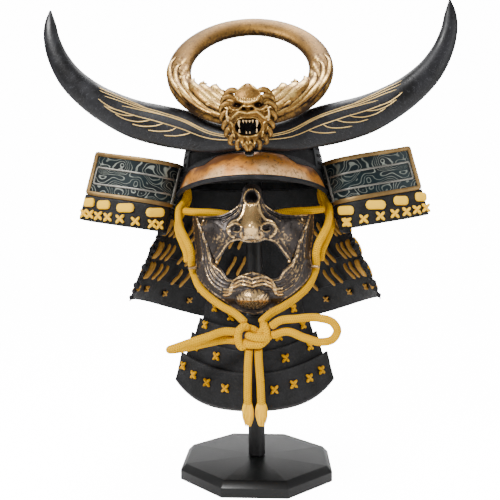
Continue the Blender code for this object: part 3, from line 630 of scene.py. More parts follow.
@dataclass(frozen=True)
class Finish:
    """A finish: base colours, gloss, and which shared effects it uses."""

    name: str
    slot: Slot
    colour: tuple[float, float, float]
    roughness: float = 0.5
    metallic: float = 0.0

    def material(self) -> bpy.types.Material:
        """The finish's material, made once.

        Returns:
            The material, under the finish's name.
        """
        found = bpy.data.materials.get(self.name)
        if found is None:
            found = bpy.data.materials.new(self.name)
            found.use_nodes = True
            tree = found.node_tree
            shader = tree.nodes["Principled BSDF"]
            shader.inputs["Base Color"].default_value = (*self.colour, 1.0)
            shader.inputs["Roughness"].default_value = self.roughness
            shader.inputs["Metallic"].default_value = self.metallic
            found.diffuse_color = (*self.colour, 1.0)
            self.dress(tree, shader)
        return found

    def dress(self, tree: Tree, shader: Node) -> None:
        """Adds the finish's own detail. The plain finish adds grain alone."""
        grain = self.place(tree, "Grain", Scale=700.0, Strength=0.15)
        socket_link(tree, shader.inputs["Normal"], grain.outputs["Normal"])

    @staticmethod
    def place(tree: Tree, group: str, **values: float) -> Node:
        """Places a shared group in a material with its own values.

        Args:
            tree: Node tree to work in.
            group: Name of the shared group.
            values: Values of its inputs.

        Returns:
            The placed node.
        """
        made = tree.nodes.new("ShaderNodeGroup")
        made.node_tree = bpy.data.node_groups[group]
        for key, value in values.items():
            made.inputs[key].default_value = value
        return made


@dataclass(frozen=True)
class Leather(Finish):
    """Black grained leather with pale dust specks, high spots lightened, partly worn by rubbing and partly
    painted highlight, and clouds of a faint cool painted sheen.
    """

    # lift: the colour of the clouds, a faint cool painted sheen.
    lift: tuple[float, float, float] = (0.012, 0.012, 0.014)
    grain_size: float = 650.0

    def dress(self, tree: Tree, shader: Node) -> None:
        """High spots from the relief attribute are lightened, partly rubbing and partly painted highlight,
        and clouds change the tone towards a faint cool painted sheen; pebbled grain sets the roughness and
        bumps.

        Args:
            tree: The material's node tree.
            shader: Its Principled BSDF node, whose inputs are fed.
        """
        grain = self.place(tree, "Grain", Scale=self.grain_size, Strength=0.55)
        speckle = self.place(tree, "Speckle", Scale=420.0, Amount=0.9)
        wear_and_light = self.place(tree, "WearAndLight", Ragged=0.6, Scale=240.0)
        tone = blended(tree, times(tree, speckle.outputs["Clouds"], 0.55), self.colour, self.lift)
        tone = blended(tree, times(tree, wear_and_light.outputs["High"], 0.7), tone, (0.060, 0.058, 0.056))
        tone = blended(tree, times(tree, speckle.outputs["Specks"], 0.25), tone, (0.050, 0.048, 0.045))
        socket_link(tree, shader.inputs["Base Color"], tone)
        shader.inputs["Specular IOR Level"].default_value = 0.22
        rough = stretch(tree, grain.outputs["Mask"], 0.2, 1.2, self.roughness - 0.12, self.roughness + 0.12)
        socket_link(tree, shader.inputs["Roughness"], rough)
        socket_link(tree, shader.inputs["Normal"], grain.outputs["Normal"])


@dataclass(frozen=True)
class WornMetalWithPaintedLight(Finish):
    """Metal with a main tone, dark hollows, partly patina and partly painted shade, and bright high spots,
    partly worn by rubbing and partly painted highlight.
    """

    dark: tuple[float, float, float] = (0.05, 0.025, 0.012)
    bright: tuple[float, float, float] = (0.90, 0.74, 0.46)
    specks: float = 0.5
    speck_size: float = 260.0
    grain_depth: float = 0.25
    ragged: float = 0.95

    def dress(self, tree: Tree, shader: Node) -> None:
        """Clouds and specks over the main tone, then the bright colour on the high spots, partly rubbing and
        partly painted highlight, and the dark colour in the low, partly dirt and partly painted shade.

        Args:
            tree: The material's node tree.
            shader: Its Principled BSDF node, whose inputs are fed.
        """
        speckle = self.place(tree, "Speckle", Scale=self.speck_size, Amount=self.specks)
        wear_and_light = self.place(tree, "WearAndLight", Ragged=self.ragged, Scale=340.0)
        grain = self.place(tree, "Grain", Scale=850.0, Strength=self.grain_depth)
        mid = tuple(0.55 * a + 0.45 * b for a, b in zip(self.colour, self.dark))
        tone = blended(tree, speckle.outputs["Clouds"], mid, self.colour)
        tone = blended(tree, wear_and_light.outputs["High"], tone, self.bright)
        tone = blended(tree, wear_and_light.outputs["Low"], tone, self.dark)
        tone = blended(tree, times(tree, speckle.outputs["Specks"], 0.75), tone, self.dark)
        socket_link(tree, shader.inputs["Base Color"], tone)
        rough = stretch(tree, wear_and_light.outputs["High"], 0.0, 1.0, self.roughness + 0.12, self.roughness - 0.08)
        socket_link(tree, shader.inputs["Roughness"], rough)
        socket_link(tree, shader.inputs["Normal"], grain.outputs["Normal"])


@dataclass(frozen=True)
class Copper(Finish):
    """Tan copper: orange-brown at the top and the ends, pale peach low in the middle."""

    dark: tuple[float, float, float] = (0.13, 0.045, 0.009)
    pale: tuple[float, float, float] = (0.92, 0.56, 0.26)

    def dress(self, tree: Tree, shader: Node) -> None:
        """The relief attribute carries the pale share; clouds and specks break it up.

        Args:
            tree: The material's node tree.
            shader: Its Principled BSDF node, whose inputs are fed.
        """
        speckle = self.place(tree, "Speckle", Scale=190.0, Amount=1.05)
        grain = self.place(tree, "Grain", Scale=800.0, Strength=0.3)
        share = add_node(tree, "ShaderNodeAttribute", attribute_name="relief").outputs["Fac"]
        cloud = times(tree, maths(tree, "SUBTRACT", speckle.outputs["Clouds"], 0.5), 0.75)
        level = maths(tree, "ADD", share, cloud)
        tone = blended(tree, stretch(tree, level, -0.1, 0.5), self.dark, self.colour)
        tone = blended(tree, stretch(tree, level, 0.45, 1.15), tone, self.pale)
        tone = blended(tree, times(tree, speckle.outputs["Specks"], 0.7), tone, (0.10, 0.04, 0.015))
        socket_link(tree, shader.inputs["Base Color"], tone)
        socket_link(tree, shader.inputs["Normal"], grain.outputs["Normal"])


@dataclass(frozen=True)
class HornLacquer(Finish):
    """Charcoal horn with clouds of a blue-grey painted sheen and fine scratches."""

    def dress(self, tree: Tree, shader: Node) -> None:
        """Scratches are thin bands of stretched noise over the uv map.

        Args:
            tree: The material's node tree.
            shader: Its Principled BSDF node, whose inputs are fed.
        """
        speckle = self.place(tree, "Speckle", Scale=300.0, Amount=0.6)
        grain = self.place(tree, "Grain", Scale=500.0, Strength=0.22)
        uv = add_node(tree, "ShaderNodeUVMap", uv_map="UVMap").outputs["UV"]
        spun = add_node(tree, "ShaderNodeMapping",
                        {"Vector": uv, "Rotation": (0.0, 0.0, 0.7), "Scale": (16.0, 2.2, 1.0)})
        noise = add_node(tree, "ShaderNodeTexNoise",
                         {"Vector": spun.outputs["Vector"], "Scale": 4.0, "Detail": 4.0})
        near = maths(tree, "ABSOLUTE", maths(tree, "SUBTRACT", noise.outputs["Fac"], 0.5))
        scratch = stretch(tree, near, 0.006, 0.0)
        # The clouds lighten the charcoal to a blue-grey painted sheen.
        tone = blended(tree, speckle.outputs["Clouds"], self.colour, (0.0080, 0.0082, 0.0105))
        tone = blended(tree, times(tree, scratch, 0.30), tone, (0.16, 0.16, 0.18))
        tone = blended(tree, times(tree, speckle.outputs["Specks"], 0.25), tone, (0.045, 0.043, 0.042))
        socket_link(tree, shader.inputs["Base Color"], tone)
        shader.inputs["Specular IOR Level"].default_value = 0.30
        rough = stretch(tree, speckle.outputs["Clouds"], 0.0, 1.0, 0.34, 0.52)
        socket_link(tree, shader.inputs["Roughness"], rough)
        socket_link(tree, shader.inputs["Normal"], grain.outputs["Normal"])


@dataclass(frozen=True)
class EngravedPanel(Finish):
    """Dark teal metal engraved with silver contour lines in swirls."""

    def dress(self, tree: Tree, shader: Node) -> None:
        """Lines lie where a warped distance to scattered centres passes whole steps.

        Args:
            tree: The material's node tree.
            shader: Its Principled BSDF node, whose inputs are fed.
        """
        uv = add_node(tree, "ShaderNodeUVMap", uv_map="UVMap").outputs["UV"]
        placed = add_node(tree, "ShaderNodeMapping", {"Vector": uv, "Scale": (1.0, 1.8, 1.0)})
        warp = add_node(tree, "ShaderNodeTexNoise",
                        {"Vector": placed.outputs["Vector"], "Scale": 2.4, "Detail": 1.0})
        moved = add_node(tree, "ShaderNodeVectorMath",
                         {0: placed.outputs["Vector"], 1: warp.outputs["Color"]}, operation="ADD")
        cells = add_node(tree, "ShaderNodeTexVoronoi", {"Vector": moved.outputs["Vector"], "Scale": 1.7},
                         feature="SMOOTH_F1")
        wave = maths(tree, "SINE", times(tree, cells.outputs["Distance"], 60.0))
        line = stretch(tree, wave, 0.66, 0.95)
        speckle = self.place(tree, "Speckle", Scale=300.0, Amount=0.6)
        tone = blended(tree, speckle.outputs["Clouds"], self.colour, (0.0045, 0.0070, 0.0080))
        worn = times(tree, line, stretch(tree, speckle.outputs["Clouds"], 0.0, 1.0, 0.45, 1.0))
        shader.inputs["Specular IOR Level"].default_value = 0.25
        socket_link(tree, shader.inputs["Base Color"], blended(tree, worn, tone, (0.190, 0.205, 0.175)))
        relief = add_node(tree, "ShaderNodeBump", {"Height": line, "Strength": 0.5, "Distance": 0.0004})
        socket_link(tree, shader.inputs["Normal"], relief.outputs["Normal"])


@dataclass(frozen=True)
class Silk(Finish):
    """Braided silk: pale strands with painted shade in the braid's hollows."""

    shade: tuple[float, float, float] = (0.58, 0.20, 0.015)
    turns: float = 4.0

    def dress(self, tree: Tree, shader: Node) -> None:
        """The braid's hollows take the shade colour as painted shade, and clouds darken parts of it a little
        towards that colour.

        Args:
            tree: The material's node tree.
            shader: Its Principled BSDF node, whose inputs are fed.
        """
        braid = self.place(tree, "Braid", Turns=self.turns, Strength=0.75)
        speckle = self.place(tree, "Speckle", Scale=500.0, Amount=0.2)
        tone = blended(tree, braid.outputs["Mask"], self.shade, self.colour)
        tone = blended(tree, times(tree, speckle.outputs["Clouds"], 0.25), tone, self.shade)
        socket_link(tree, shader.inputs["Base Color"], tone)
        socket_link(tree, shader.inputs["Normal"], braid.outputs["Normal"])
        shader.inputs["Specular IOR Level"].default_value = 0.05


BASE_BLACK = Finish("satin black", Slot.BLACK_METAL, (0.0012, 0.0012, 0.0013), 0.38, 0.0)
POST_BLACK = Finish("matt black", Slot.BLACK_METAL, (0.002, 0.002, 0.0022), 0.5, 0.0)
BOWL_BLACK = Leather("black bowl", Slot.BLACK_METAL, (0.003, 0.003, 0.0035), 0.42, 0.0)
LEATHER = Leather("black leather", Slot.BLACK_LEATHER, (0.0035, 0.0034, 0.0034), 0.55)
LAME = Leather("black lame", Slot.BLACK_LEATHER, (0.0028, 0.0027, 0.0028), 0.48)
# The peak rim's grey cloud colour is painted sheen along the rim.
RIM = Leather("rim with painted sheen", Slot.BLACK_LEATHER, (0.004, 0.004, 0.005), 0.55, 0.0, (0.022, 0.022, 0.025), 380.0)
# Grey of painted light: the bowl's sides where light falls from the side.
SIDE_LIT_GREY = WornMetalWithPaintedLight("side-lit grey", Slot.BLACK_METAL, (0.035, 0.037, 0.040), 0.5, 0.3,
                       (0.008, 0.008, 0.009), (0.16, 0.165, 0.17))
GOLD = WornMetalWithPaintedLight("aged gold", Slot.AGED_GOLD, (0.28, 0.140, 0.028), 0.34, 0.80,
                 (0.012, 0.004, 0.0010), (0.86, 0.56, 0.17), 0.95, 240.0)
RING_GOLD = WornMetalWithPaintedLight("golden ring", Slot.AGED_GOLD, (0.25, 0.125, 0.020), 0.38, 0.75,
                      (0.022, 0.009, 0.0015), (0.86, 0.54, 0.14), 1.0, 260.0)
FRAME_GOLD = WornMetalWithPaintedLight("brushed gold edge", Slot.ENGRAVED_PLATE, (0.25, 0.155, 0.055), 0.36, 0.80,
                       (0.04, 0.015, 0.004), (0.75, 0.45, 0.14), 0.5, 300.0)
TUSK = Finish("tusk", Slot.AGED_GOLD, (0.62, 0.42, 0.20), 0.35, 0.4)
# Near-black for the mouth and the strap slots: painted shade over hollows.
HOLLOW_SHADE = Leather("painted hollow shade", Slot.AGED_GOLD, (0.0012, 0.0008, 0.0006), 0.9, 0.0,
                     (0.002, 0.0015, 0.0012))
COPPER = Copper("tan copper", Slot.AGED_COPPER, (0.60, 0.235, 0.040), 0.38, 0.45)
HORN_DARK = HornLacquer("horn lacquer", Slot.HORN, (0.0035, 0.0033, 0.0036), 0.40, 0.0)
INLAY = WornMetalWithPaintedLight("inlay", Slot.HORN, (0.80, 0.55, 0.20), 0.34, 0.6,
                  (0.30, 0.17, 0.05), (1.0, 0.80, 0.42), 0.3)
PANEL = EngravedPanel("engraved panel", Slot.ENGRAVED_PLATE, (0.0030, 0.0100, 0.0120), 0.40, 0.35)
SILVER = WornMetalWithPaintedLight("silver and painted glint", Slot.ENGRAVED_PLATE, (0.20, 0.19, 0.165), 0.33, 0.85,
                   (0.03, 0.03, 0.03), (0.60, 0.57, 0.50), 0.6)
GUNMETAL = WornMetalWithPaintedLight("worn gunmetal", Slot.GUNMETAL, (0.060, 0.050, 0.046), 0.28, 0.80,
                     (0.0045, 0.0034, 0.0034), (0.80, 0.52, 0.22), 0.60, 300.0, 0.3, 1.25)
CORD = Silk("cord silk", Slot.YELLOW_CORD, (0.84, 0.455, 0.0), 0.75, 0.0, (0.50, 0.215, 0.0), 5.0)
LACE = Silk("lace silk", Slot.YELLOW_CORD, (0.90, 0.45, 0.0), 0.75, 0.0, (0.42, 0.16, 0.0), 3.0)
# A darker copy of the lace silk: painted shade for laces and knots that lie in shadow.
SHADED_LACE = Finish("shaded lace silk", Slot.YELLOW_CORD, (0.46, 0.23, 0.030), 0.8)
FIBRE = Finish("frayed silk", Slot.YELLOW_CORD, (0.88, 0.50, 0.002), 0.85)


# Pieces


def make_piece(name: str, surface: Surface, finish: Finish, replaced: tuple[str, ...] = (),
               sharp_deg: float = 40.0, split_uv: bool = True) -> bpy.types.Object:
    """Makes a piece of the object from a surface and dresses it.

    Args:
        name: Piece name.
        surface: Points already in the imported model's frame.
        finish: The finish it takes.
        replaced: CAD nodes that it stands for.
        sharp_deg: Angle past which an edge is shaded sharp.
        split_uv: Whether the uv's second value wraps round and is mended at its seam.

    Returns:
        The piece, riding on the root body.
    """
    mesh = bpy.data.meshes.new(name)
    mesh.vertices.add(len(surface.points))
    mesh.vertices.foreach_set("co", surface.points.astype(np.float32).ravel())
    corners = np.concatenate([surface.quads.ravel(), surface.tris.ravel()]).astype(np.int32)
    sizes = np.concatenate([np.full(len(surface.quads), 4), np.full(len(surface.tris), 3)])
    starts = np.concatenate([[0], np.cumsum(sizes)[:-1]]).astype(np.int32)
    mesh.loops.add(len(corners))
    mesh.loops.foreach_set("vertex_index", corners)
    mesh.polygons.add(len(sizes))
    mesh.polygons.foreach_set("loop_start", starts)
    mesh.update(calc_edges=True)
    if surface.uv is not None:
        uv = surface.uv[corners].copy()
        if split_uv:
            face = np.repeat(np.arange(len(sizes)), sizes)
            highest = np.zeros(len(sizes))
            np.maximum.at(highest, face, uv[:, 1])
            uv[:, 1] += (highest[face] - uv[:, 1] > 0.5)
        layer = mesh.uv_layers.new(name="UVMap")
        layer.data.foreach_set("uv", uv.astype(np.float32).ravel())
    if surface.relief is not None:
        mark = mesh.attributes.new("relief", "FLOAT", "POINT")
        mark.data.foreach_set("value", surface.relief.astype(np.float32))
    mesh.validate()
    work = bmesh.new()
    work.from_mesh(mesh)
    bmesh.ops.recalc_face_normals(work, faces=work.faces)
    work.to_mesh(mesh)
    work.free()
    mesh.shade_smooth()
    mesh.set_sharp_from_angle(angle=math.radians(sharp_deg))
    mesh.materials.append(finish.material())
    piece = bpy.data.objects.new(name, mesh)
    bpy.context.scene.collection.objects.link(piece)
    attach(piece, "root")
    if replaced:
        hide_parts(*replaced)
    LOG.info("%s: %d faces", name, len(sizes))
    return piece


def scattered(shape: Surface, places: Array, axes: Array) -> Surface:
    """Copies one small shape to many places.

    Args:
        shape: The shape about its own origin.
        places: Centres, one row each.
        axes: Three scaled directions for each place, as rows.

    Returns:
        All the copies as one surface: each point is its place plus its coordinates along the axes.
    """
    count, size = len(places), len(shape.points)
    points = places[:, None] + np.einsum("pk,nkd->npd", shape.points, axes)
    shift = (np.arange(count) * size)[:, None, None]
    relief = shape.relief if shape.relief is not None else np.zeros(size)
    return Surface(
        points.reshape(-1, 3),
        (shape.quads[None] + shift).reshape(-1, 4),
        (shape.tris[None] + shift).reshape(-1, 3),
        np.tile(relief, count),
        np.tile(shape.uv, (count, 1)),
    )


def ball(rows: int = 7, columns: int = 10) -> Surface:
    """A unit ball: rings of latitude between two poles.

    Args:
        rows: Rings of latitude.
        columns: Points in a ring.

    Returns:
        One closed surface.
    """
    climb = np.linspace(-np.pi / 2, np.pi / 2, rows + 2)[1:-1, None]
    turn = circle(columns)[None, :]
    reach = np.cos(climb)
    made = tube(np.stack([reach * np.cos(turn), reach * np.sin(turn), np.sin(climb) + 0 * turn], -1))
    made.points[-2:] = [[0, 0, -1], [0, 0, 1]]
    return made


def pill() -> Surface:
    """A rounded bar two units long: square-ish rings that close in a quarter circle at each end.

    Returns:
        One closed surface.
    """
    along = np.linspace(-1, 1, 20)
    path = np.stack([along, 0 * along, 0 * along], -1)
    size = rounded(20, 0.22)
    return tube(swept(path, size, size, UP, 16, 0.75))


def cross_knot() -> Surface:
    """A small cross of four fat petals over a low middle, one unit across, facing +Z.

    Returns:
        The petals and the middle as one surface.
    """
    turn = np.radians(45 + 90 * np.arange(4))
    centres = np.stack([0.27 * np.cos(turn), 0.27 * np.sin(turn), 0 * turn + 0.08], -1)
    long = np.stack([np.cos(turn), np.sin(turn), 0 * turn], -1) * 0.29
    wide = np.stack([-np.sin(turn), np.cos(turn), 0 * turn], -1) * 0.15
    tall = np.array([0, 0, 0.20]) + 0 * long
    petals = scattered(ball(5, 8), centres, np.stack([long, wide, tall], 1))
    middle = scattered(ball(3, 8), np.array([[0, 0, 0.1]]), np.diag([0.13, 0.13, 0.2])[None])
    return joined([petals, middle])


def frames(normals: Array, size: Array | float) -> Array:
    """Three scaled axes for each normal: across, up and out.

    Args:
        normals: Unit normals, one row each.
        size: Length of the axes, one value or one each.

    Returns:
        Three rows for each normal.
    """
    across = unit(np.cross(np.broadcast_to(UP, normals.shape), normals))
    high = np.cross(normals, across)
    scale = np.broadcast_to(size, (len(normals),))[:, None, None]
    return np.stack([across, high, normals], 1) * scale


def bundle(paths: Array, radii: Array, side: Array, count: int = 4) -> Surface:
    """Many thin strands at once.

    Args:
        paths: Centre lines, of shape (strands, rings, 3).
        radii: Half thickness of each ring, of shape (strands, rings).
        side: A direction that no strand runs along.
        count: Points in a ring.

    Returns:
        One surface; each end closes in a flat face.
    """
    strands, rings = paths.shape[:2]
    tangent = unit(np.gradient(paths, axis=1))
    across = unit(np.cross(tangent, np.broadcast_to(side, paths.shape)))
    along = np.cross(across, tangent)
    turn = circle(count)
    points = (paths[:, :, None] + across[:, :, None] * (radii[..., None] * np.cos(turn))[..., None]
              + along[:, :, None] * (radii[..., None] * np.sin(turn))[..., None])
    size = rings * count
    one = grid_quads(rings, count, True)
    ring = np.arange(count)
    if count == 4:
        one = np.concatenate([one, ring[::-1][None], (size - 4 + ring)[None]])
    shift = (np.arange(strands) * size)[:, None, None]
    u, v = np.meshgrid(np.linspace(0, 1, rings), ring / count, indexing="ij")
    uv = np.tile(np.stack([u.ravel(), v.ravel()], -1), (strands, 1))
    return Surface(points.reshape(-1, 3), (one[None] + shift).reshape(-1, 4), uv=uv,
                   relief=np.zeros(strands * size))


# Cords


@dataclass
class ChinCord:
    """The yellow chin cord: strands beside the mask, the bow, its tails and their tufts."""

    diameter: float = CORD_DIAMETER
    spacing: float = 0.0012
    tuft_length: float = 0.030
    tuft_width: float = 0.0135
    strands: int = 260
    strand_radius: float = 0.0007
    chin: Table = field(default_factory=lambda: [
        (0.0970, -0.0340, 0.4236), (0.0978, -0.0370, 0.4130), (0.1028, -0.0440, 0.4005),
        (0.1060, -0.0535, 0.3940), (0.1062, -0.0610, 0.3850), (0.1030, -0.0720, 0.3700),
        (0.0950, -0.0840, 0.3550), (0.0870, -0.0915, 0.3400), (0.0850, -0.0910, 0.3300),
        (0.0856, -0.0850, 0.3180), (0.0845, -0.0820, 0.3080), (0.0805, -0.0860, 0.2975),
        (0.0744, -0.0960, 0.2872), (0.0596, -0.1086, 0.2742), (0.0418, -0.1212, 0.2630),
        (0.0235, -0.1340, 0.2545), (0.0096, -0.1478, 0.2444),
    ])
    side: Table = field(default_factory=lambda: [
        (0.0985, -0.0212, 0.4244), (0.0966, -0.0235, 0.4130), (0.1000, -0.0320, 0.3980),
        (0.1065, -0.0410, 0.3850), (0.1095, -0.0480, 0.3740), (0.1065, -0.0575, 0.3590),
        (0.0995, -0.0670, 0.3440), (0.0937, -0.0744, 0.3310), (0.0921, -0.0779, 0.3190),
    ])
    cross: Table = field(default_factory=lambda: [
        (-0.0967, -0.0602, 0.3908), (-0.0800, -0.0705, 0.3890), (-0.0520, -0.0810, 0.3875),
        (-0.0250, -0.0860, 0.3835), (0.0000, -0.0870, 0.3795), (0.0250, -0.0860, 0.3835),
        (0.0520, -0.0810, 0.3875), (0.0800, -0.0705, 0.3890), (0.1008, -0.0601, 0.3908),
    ])
    bows: dict[Side, Table] = field(default_factory=lambda: {
        Side.LEFT: [
            (-0.0170, -0.1520, 0.2330), (-0.0330, -0.1580, 0.2350), (-0.0550, -0.1620, 0.2290),
            (-0.0800, -0.1620, 0.2210), (-0.0970, -0.1610, 0.2150), (-0.1045, -0.1540, 0.2115),
            (-0.0990, -0.1450, 0.2100), (-0.0800, -0.1440, 0.2130), (-0.0550, -0.1470, 0.2190),
            (-0.0340, -0.1500, 0.2230), (-0.0176, -0.1510, 0.2225),
        ],
        Side.RIGHT: [
            (0.0248, -0.1540, 0.2400), (0.0360, -0.1580, 0.2480), (0.0560, -0.1620, 0.2510),
            (0.0860, -0.1640, 0.2520), (0.1030, -0.1630, 0.2460), (0.1085, -0.1620, 0.2360),
            (0.1030, -0.1610, 0.2250), (0.0880, -0.1590, 0.2210), (0.0680, -0.1570, 0.2260),
            (0.0450, -0.1550, 0.2340), (0.0256, -0.1520, 0.2285),
        ],
    })
    tails: dict[Side, Table] = field(default_factory=lambda: {
        Side.LEFT: [
            (-0.0030, -0.1510, 0.2115), (-0.0045, -0.1480, 0.1950),
            (-0.0055, -0.1465, 0.1700), (-0.0060, -0.1460, 0.1380),
        ],
        Side.RIGHT: [
            (0.0085, -0.1510, 0.2115), (0.0090, -0.1480, 0.1950),
            (0.0105, -0.1465, 0.1700), (0.0115, -0.1460, 0.1380),
        ],
    })
    knot_turns: list[Table] = field(default_factory=lambda: [
        [(-0.006, -0.150, 0.2175), (-0.0125, -0.1545, 0.2150), (-0.0165, -0.1560, 0.2250),
         (-0.0150, -0.1555, 0.2360), (-0.0080, -0.1525, 0.2405), (-0.0030, -0.1490, 0.2360)],
        [(-0.0060, -0.1490, 0.2290), (0.0000, -0.1565, 0.2280), (0.0090, -0.1590, 0.2268),
         (0.0170, -0.1570, 0.2265), (0.0222, -0.1500, 0.2270), (0.0190, -0.1440, 0.2280)],
        [(0.0020, -0.1480, 0.2170), (0.0060, -0.1520, 0.2195), (0.0130, -0.1520, 0.2330),
         (0.0180, -0.1500, 0.2410), (0.0150, -0.1460, 0.2400)],
        [(-0.0100, -0.1460, 0.2380), (0.0030, -0.1460, 0.2350), (0.0160, -0.1455, 0.2200)],
        [(-0.0105, -0.1480, 0.2215), (-0.0050, -0.1550, 0.2180), (0.0030, -0.1565, 0.2174),
         (0.0110, -0.1560, 0.2178), (0.0175, -0.1490, 0.2215)],
        [(0.0150, -0.1440, 0.2190), (0.0188, -0.1520, 0.2235), (0.0195, -0.1545, 0.2320),
         (0.0180, -0.1520, 0.2400), (0.0130, -0.1460, 0.2430)],
    ])

    def skin(self, path: Array, side: Array) -> Surface:
        """A round cord along a path; the uv's first value counts cord diameters.

        Args:
            path: Points of the centre line.
            side: A direction that it never runs along.

        Returns:
            One closed surface.
        """
        size = self.diameter / 2 * rounded(len(path), 0.012)
        return tube(swept(path, size, size, side, 16), ring_uv=distances(path) / self.diameter)

    def lay(self, name: str, path: Array, side: Array) -> bpy.types.Object:
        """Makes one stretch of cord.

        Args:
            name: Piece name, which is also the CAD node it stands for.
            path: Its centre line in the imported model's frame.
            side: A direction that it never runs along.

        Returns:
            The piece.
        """
        piece = make_piece(name + "_braid", self.skin(path, side), CORD, (name,))
        return piece

    def knot(self) -> bpy.types.Object:
        """The bow's knot: six turns of cord pressed together.

        Returns:
            The knot's piece.
        """
        parts = []
        for turn in self.knot_turns:
            path = route(turn, self.spacing)
            size = self.diameter / 2 * 0.98 * rounded(len(path), 0.10)
            rings = swept(path, size, size, np.array([0.3, 0.9, 0.4]), 16)
            parts.append(tube(rings, ring_uv=distances(path) / self.diameter))
        return make_piece("bow_knot_turns", joined(parts).lean(), CORD, ("bow_knot",))

    def tuft(self, side: Side) -> bpy.types.Object:
        """A frayed end: tapered strands that swell from the tail's end and close to a point.

        Args:
            side: Which tail it ends.

        Returns:
            The tuft's piece.
        """
        rng = np.random.default_rng(11 + side.value)
        end = np.array(self.tails[side][-1])
        t = np.linspace(0, 1, 8)[None, :]
        turn = rng.uniform(0, 2 * np.pi, self.strands)[:, None]
        deep = np.sqrt(rng.uniform(0.02, 1, self.strands))[:, None]
        length = self.tuft_length * rng.uniform(0.70, 0.985, self.strands)[:, None]
        swell = 0.68 + 0.42 * np.sin(np.pi * t) - 0.18 * t
        reach = (self.tuft_width / 2 + 0.0008) * deep * swell
        bend = turn + 0.5 * (rng.uniform(-1, 1, self.strands)[:, None]) * t
        x = end[0] + reach * np.cos(bend)
        y = end[1] + 0.8 * reach * np.sin(bend)
        z = end[2] + 0.0015 - length * t
        paths = np.stack([x, y, z], -1)
        radii = self.strand_radius * (1 - 0.60 * t**3) + 0 * x
        hair = bundle(paths, radii, np.array([1.0, 0.3, 0.0]))
        core_z = np.linspace(end[2] + 0.001, end[2] - self.tuft_length * 0.72, 9)
        core = np.stack([end[0] + 0 * core_z, end[1] + 0 * core_z, core_z], -1)
        size = self.tuft_width / 2 * np.array([0.62, 0.70, 0.74, 0.72, 0.66, 0.56, 0.44, 0.28, 0.06])
        body = tube(swept(core, size, size * 0.8, BACK, 14))
        name = f"tuft_{side.word}"
        return make_piece(name + "_strands", joined([hair, body]).lean(), FIBRE, (name,))

    def build(self) -> None:
        """Builds every stretch of the cord."""
        knot = self.knot()
        for side in Side:
            mirror = np.array([side.value, 1.0, 1.0])
            tuft = self.tuft(side)
            self.lay(f"chin_cord_{side.word}", leaned(route(self.chin, self.spacing) * mirror, MASK_SHIFT),
                     BACK)
            self.lay(f"side_cord_{side.word}", leaned(route(self.side, self.spacing) * mirror, MASK_SHIFT),
                     BACK)
            bow_side = UP if side is Side.LEFT else BACK
            self.lay(f"bow_loop_{side.word}", leaned(route(self.bows[side], self.spacing)), bow_side)
            self.lay(f"cord_tail_{side.word}", leaned(route(self.tails[side], self.spacing)), BACK)
        self.lay("cross_cord", leaned(route(self.cross, self.spacing)), UP)


# Stand


@dataclass
class Stand:
    """The octagonal block with a sloped upper edge, and the post."""

    across: float = 0.220
    height: float = 0.022
    chamfer: float = 0.008
    post_radius: float = 0.0125
    post_top: float = 0.526

    def block(self) -> Surface:
        """Octagon rings whose corners are rounded a little where the slopes meet.

        Returns:
            One closed surface.
        """
        corner = np.radians(22.5 + 45.0 * np.arange(8))
        turn = np.sort(np.concatenate([corner - 0.012, corner, corner + 0.012]))
        away = np.abs((turn + np.radians(22.5)) % np.radians(45.0) - np.radians(22.5))
        reach = 1 / np.cos(away) - 0.004 * (away > np.radians(22.0))
        half, low = self.across / 2, self.height - self.chamfer
        inner = half - self.chamfer
        levels = [(half - 0.0006, 0.0), (half, 0.0006), (half, low - 0.0005), (half - 0.0006, low + 0.0004),
                  (inner + 0.0006, self.height - 0.0004), (inner - 0.0006, self.height)]
        ring = np.stack([np.cos(turn) * reach, np.sin(turn) * reach, 0 * turn], -1)
        return tube(np.stack([ring * size + np.array([0, 0, z]) for size, z in levels]))

    def post(self) -> Surface:
        """A round bar with softened ends.

        Returns:
            One closed surface.
        """
        foot = self.height + GAP + 0.0004
        radius, top = self.post_radius, self.post_top
        levels = [(radius - 0.001, foot), (radius, foot + 0.001), (radius, top - 0.001),
                  (radius - 0.001, top)]
        turn = circle(48)
        rings = [np.stack([r * np.cos(turn), r * np.sin(turn), z + 0 * turn], -1) for r, z in levels]
        return tube(np.stack(rings))

    def build(self) -> None:
        """Builds the block and the post."""
        make_piece("stand_block", self.block(), BASE_BLACK, ("stand_base",), 30.0)
        make_piece("stand_post", self.post().lean(), POST_BLACK, ("post",), 30.0)


# Bowl, band and peak


